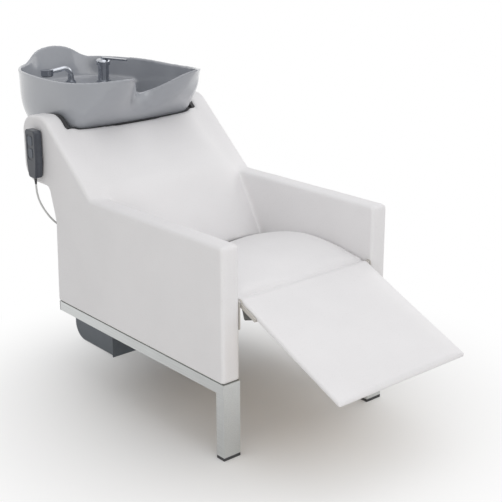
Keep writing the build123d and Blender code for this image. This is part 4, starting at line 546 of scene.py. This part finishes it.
def skin_strip(name, rings, material):
    """A closed strip from rings of points, each ring a cross-section with the same count."""
    shape = bmesh.new()
    rows = [[shape.verts.new(point) for point in ring] for ring in rings]
    count = len(rows[0])
    for low, high in zip(rows, rows[1:]):
        for index in range(count):
            after = (index + 1) % count
            shape.faces.new((low[index], low[after], high[after], high[index]))
    shape.faces.new(reversed(rows[0]))
    shape.faces.new(rows[-1])
    bmesh.ops.recalc_face_normals(shape, faces=shape.faces)
    mesh = bpy.data.meshes.new(name)
    shape.to_mesh(mesh)
    shape.free()
    return new_object(name, mesh, material)


def dress(piece, body, replaced=()):
    """Binds a finished piece to its body and hides the nodes that it stands for."""
    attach(piece, body)
    if replaced:
        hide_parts(*replaced)


# Upholstered body: side panels and backrest under one hide, with soft wedges where they meet
PANEL_VOXEL = 0.005
PAD_VOXEL = 0.008
SIDES = ("left", "right")
BACKREST_SWELL = 0.005
BACKREST_FADE = (0.17, 0.25)      # distances from the middle plane where the swell starts to end and ends
REAR_FACING = 0.3                 # a normal's least share of the rearward direction
WEDGE_STATIONS_MM = (             # back, and the height of the wedge's inner edge
    (640.0, 652.0), (655.0, 664.0), (677.0, 678.5), (709.0, 699.5),
    (741.0, 721.0), (799.0, 763.5), (846.0, 804.0),
)
WEDGE_INNER_MM = 246.0
WEDGE_OUTER_MM = 312.0
WEDGE_DEPTH_MM = 22.0
HIDE_INSET_MM = 0.8


def wedge(side):
    """A filler between the slope of a panel and the higher edge of the backrest."""
    rings = []
    for back, height in WEDGE_STATIONS_MM:
        outer = slope_height(back) - HIDE_INSET_MM
        inner = max(height, outer) - HIDE_INSET_MM
        low = outer - WEDGE_DEPTH_MM
        corners = (
            (WEDGE_INNER_MM, low), (WEDGE_INNER_MM, inner), (PANEL_INNER_MM, inner),
            (WEDGE_OUTER_MM, outer), (WEDGE_OUTER_MM, low),
        )
        rings.append([at(side * x, back, z) for x, z in corners])
    return skin_strip("wedge", rings, MATERIALS["panel_leather"])


def not_rearward(normals):
    return normals[:, 1] < REAR_FACING


backrest = copied("backrest_cushion", "backrest", MATERIALS["cushion_leather"])
remesh(backrest, PAD_VOXEL)
inflate(backrest, swell_limit(not_rearward, BACKREST_SWELL, BACKREST_FADE))
panels = [copied("side_panel_cover_" + word, word, MATERIALS["panel_leather"]) for word in SIDES]
body = joined("upholstered_body", [backrest, *panels, wedge(-1), wedge(1)], MATERIALS["cushion_leather"])
remesh(body, PANEL_VOXEL)

SLOPE_RELAX_ROUNDS = 60
SKIN_RELAX_ROUNDS = 2
SLOPE_START_MM = (618, 640)       # back, where the relaxing of the slope sets in
SLOPE_END_MM = (838, 850)         # back, where it ends
SLOPE_INNER_MM = (215, 240)       # across, where it sets in
SLOPE_OUTER_MM = (300, 312)       # across, where it ends
SLOPE_DEPTH_MM = (16, 6)          # depth under the slope where it sets in, and where it is full


def slope_zone(points):
    """One where panel, wedge and backrest meet on the slope, zero on the outer edges and walls."""
    across, back, height = measures(points)
    deep, shallow = SLOPE_DEPTH_MM
    along = band(back, SLOPE_START_MM, SLOPE_END_MM)
    inner = band(across, SLOPE_INNER_MM, SLOPE_OUTER_MM)
    top = smooth_step(height, slope_height(back) - deep, slope_height(back) - shallow)
    return along * inner * top


relax(body, slope_zone, SLOPE_RELAX_ROUNDS)
relax(body, None, SKIN_RELAX_ROUNDS)
shade_smooth(body)
dress(body, "frame", ("side_panel_cover_left", "side_panel_cover_right", "backrest_cushion"))

# Seat and leg rest pads
UPWARD_FACING = 0.2               # a normal's least share of the upward direction
SEAT_SWELL = 0.007
SEAT_FADE = (0.2, 0.258)
SEAT_NOSE_MM = (75.0, 456.0)      # back and height below which the seat's nose makes room for the leg rest
SEAT_NOSE_TUCK = 0.003
LEG_VOXEL = 0.004
LEG_SWELL = 0.003
LEG_FADE = (0.19, 0.246)
LEG_PRESSURE = 3.0
LEG_FRAMES = 12


def upward(normals):
    return normals[:, 2] > UPWARD_FACING


seat = copied("seat_cushion", "seat_pad", MATERIALS["cushion_leather"])
remesh(seat, PAD_VOXEL)
inflate(seat, swell_limit(upward, SEAT_SWELL, SEAT_FADE))
relax(seat, None, SKIN_RELAX_ROUNDS)
spots = read_points(seat)
under_nose = (spots[:, 2] < at(0, 0, SEAT_NOSE_MM[1]).z) & (spots[:, 1] < at(0, SEAT_NOSE_MM[0], 0).y)
spots[:, 1] += SEAT_NOSE_TUCK * under_nose
write_points(seat, spots)
subdivide(seat)
shade_smooth(seat)
dress(seat, "frame", ("seat_cushion",))

leg = copied("leg_rest_cushion", "leg_rest_pad", MATERIALS["cushion_leather"])
remesh(leg, LEG_VOXEL)
inflate(leg, swell_limit(upward, LEG_SWELL, LEG_FADE), pressure=LEG_PRESSURE, frames=LEG_FRAMES)
relax(leg, None, SKIN_RELAX_ROUNDS)
shade_smooth(leg)
dress(leg, "leg_rest", ("leg_rest_cushion",))

# Hide that runs on from the seat to the leg rest, in the valley over the hinge
FLAP_HALF_MM = 244.0
FLAP_THICKNESS = 0.0016
FLAP_COLUMNS = 25
FLAP_SEAT_BACKS_MM = (64.0, 50.0)
FLAP_VALLEY_MM = ((38.0, 474.2), (28.0, 471.2), (19.0, 468.8), (10.0, 472.2))
FLAP_LEG_REACHES_MM = (10.0, 24.0)
FLAP_LIFT = 0.0003
FLAP_TUCK = 0.0035
PROBE_HEIGHT_MM = 470.0
PROBE_RISE = 0.2
leg_surface = BVHTree.FromObject(leg, bpy.context.evaluated_depsgraph_get())
seat_surface = BVHTree.FromObject(seat, bpy.context.evaluated_depsgraph_get())


def dropped(surface, point):
    """The place on a surface straight above or below a point, lifted by a hair."""
    hit = surface.ray_cast(point + Vector((0, 0, PROBE_RISE)), Vector((0, 0, -1)))[0]
    return (hit if hit else point) + Vector((0, 0, FLAP_LIFT))


flap_rings = []
for column in range(FLAP_COLUMNS):
    x = FLAP_HALF_MM * (2 * column / (FLAP_COLUMNS - 1) - 1)
    line = [dropped(seat_surface, at(x, back, PROBE_HEIGHT_MM)) for back in FLAP_SEAT_BACKS_MM]
    line[0].z -= FLAP_TUCK
    line += [at(x, *place) for place in FLAP_VALLEY_MM]
    for reach in FLAP_LEG_REACHES_MM:
        back = HINGE_MM[0] - reach * math.cos(LEG_DROP)
        height = HINGE_MM[1] - reach * math.sin(LEG_DROP)
        line.append(dropped(leg_surface, at(x, back, height)))
    line[-1].z -= FLAP_TUCK
    under = [point - Vector((0, 0, FLAP_THICKNESS)) for point in reversed(line)]
    flap_rings.append(line + under)
flap = skin_strip("leg_rest_flap", flap_rings, MATERIALS["cushion_leather"])
subdivide(flap)
shade_smooth(flap)
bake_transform(flap)

# Bowl: rounded rim, with the notch's walls blended into the bowl's front
BOWL_VOXEL = 0.0035
BOWL_RELAX_ROUNDS = 5
RIM_BACKS_MM = (640, 678, 717, 755, 793, 850)
RIM_HEIGHTS_MM = (985, 974, 950, 928, 908, 890)
NOTCH_RELAX_ROUNDS = 450
NOTCH_PULL = 0.9
NOTCH_DEPTH_MM = (14, 3)          # depth under the rim where the relaxing is full, and where it ends
NOTCH_END_MM = (800, 860)         # back, where it ends
NOTCH_FOOT_MM = (800, 830)        # height where it sets in
NOTCH_SIDE_MM = (150, 185)        # across, where it ends


def notch_zone(points):
    """One on the bowl's front below its rim, where the notch's walls turn into the outer form."""
    across, back, height = measures(points)
    rim = np.interp(back, RIM_BACKS_MM, RIM_HEIGHTS_MM)
    full, end = NOTCH_DEPTH_MM
    below = 1 - smooth_step(height, rim - full, rim - end)
    front = 1 - smooth_step(back, *NOTCH_END_MM)
    return below * front * smooth_step(height, *NOTCH_FOOT_MM) * (1 - smooth_step(across, *NOTCH_SIDE_MM))


bowl = copied("bowl_shell", "wash_bowl", MATERIALS["bowl_grey"])
remesh(bowl, BOWL_VOXEL)
relax(bowl, notch_zone, NOTCH_RELAX_ROUNDS, pull=NOTCH_PULL)
relax(bowl, None, BOWL_RELAX_ROUNDS)
shade_smooth(bowl)
dress(bowl, "bowl", ("bowl_shell",))

# Cable of the handset, on the CAD route
ROUTE_MM = [
    (-339.0, 933.5, 626.0), (-339.0, 933.5, 600.0), (-332.0, 926.0, 560.0), (-313.0, 904.0, 514.0),
    (-280.0, 893.0, 478.0), (-240.0, 876.0, 461.0), (-212.0, 852.0, 456.0), (-212.0, 824.0, 456.0),
]
CABLE_DIAMETER = 0.006
curve = bpy.data.curves.new("handset_cord", "CURVE")
curve.dimensions = "3D"
curve.bevel_depth = CABLE_DIAMETER / 2
curve.bevel_resolution = 4
curve.resolution_u = 16
spline = curve.splines.new("NURBS")
spline.points.add(len(ROUTE_MM) - 1)
for point, place in zip(spline.points, ROUTE_MM):
    point.co = (*at(*place), 1.0)
spline.order_u = 3
spline.use_endpoint_u = True
curve.materials.append(MATERIALS["cable_grey"])
cable = bpy.data.objects.new("handset_cord", curve)
scene.collection.objects.link(cable)
dress(cable, "frame", ("handset_cable",))

# Eased edges on the solids that stay
EASED_ANGLE = math.radians(35)


def ease(names, width, segments=2):
    """Bevels the edges of solids that turn by more than a small angle."""
    for name in names:
        modifier = nodes[name].modifiers.new("ease", "BEVEL")
        modifier.width = width
        modifier.segments = segments
        modifier.limit_method = "ANGLE"
        modifier.angle_limit = EASED_ANGLE


ease(("side_frame_left", "side_frame_right"), width=0.0012)
ease(("column_cover", "column_front_plate"), width=0.0035, segments=3)
ease(("foot_pads", "rail_end_caps", "seam_strips"), width=0.001)
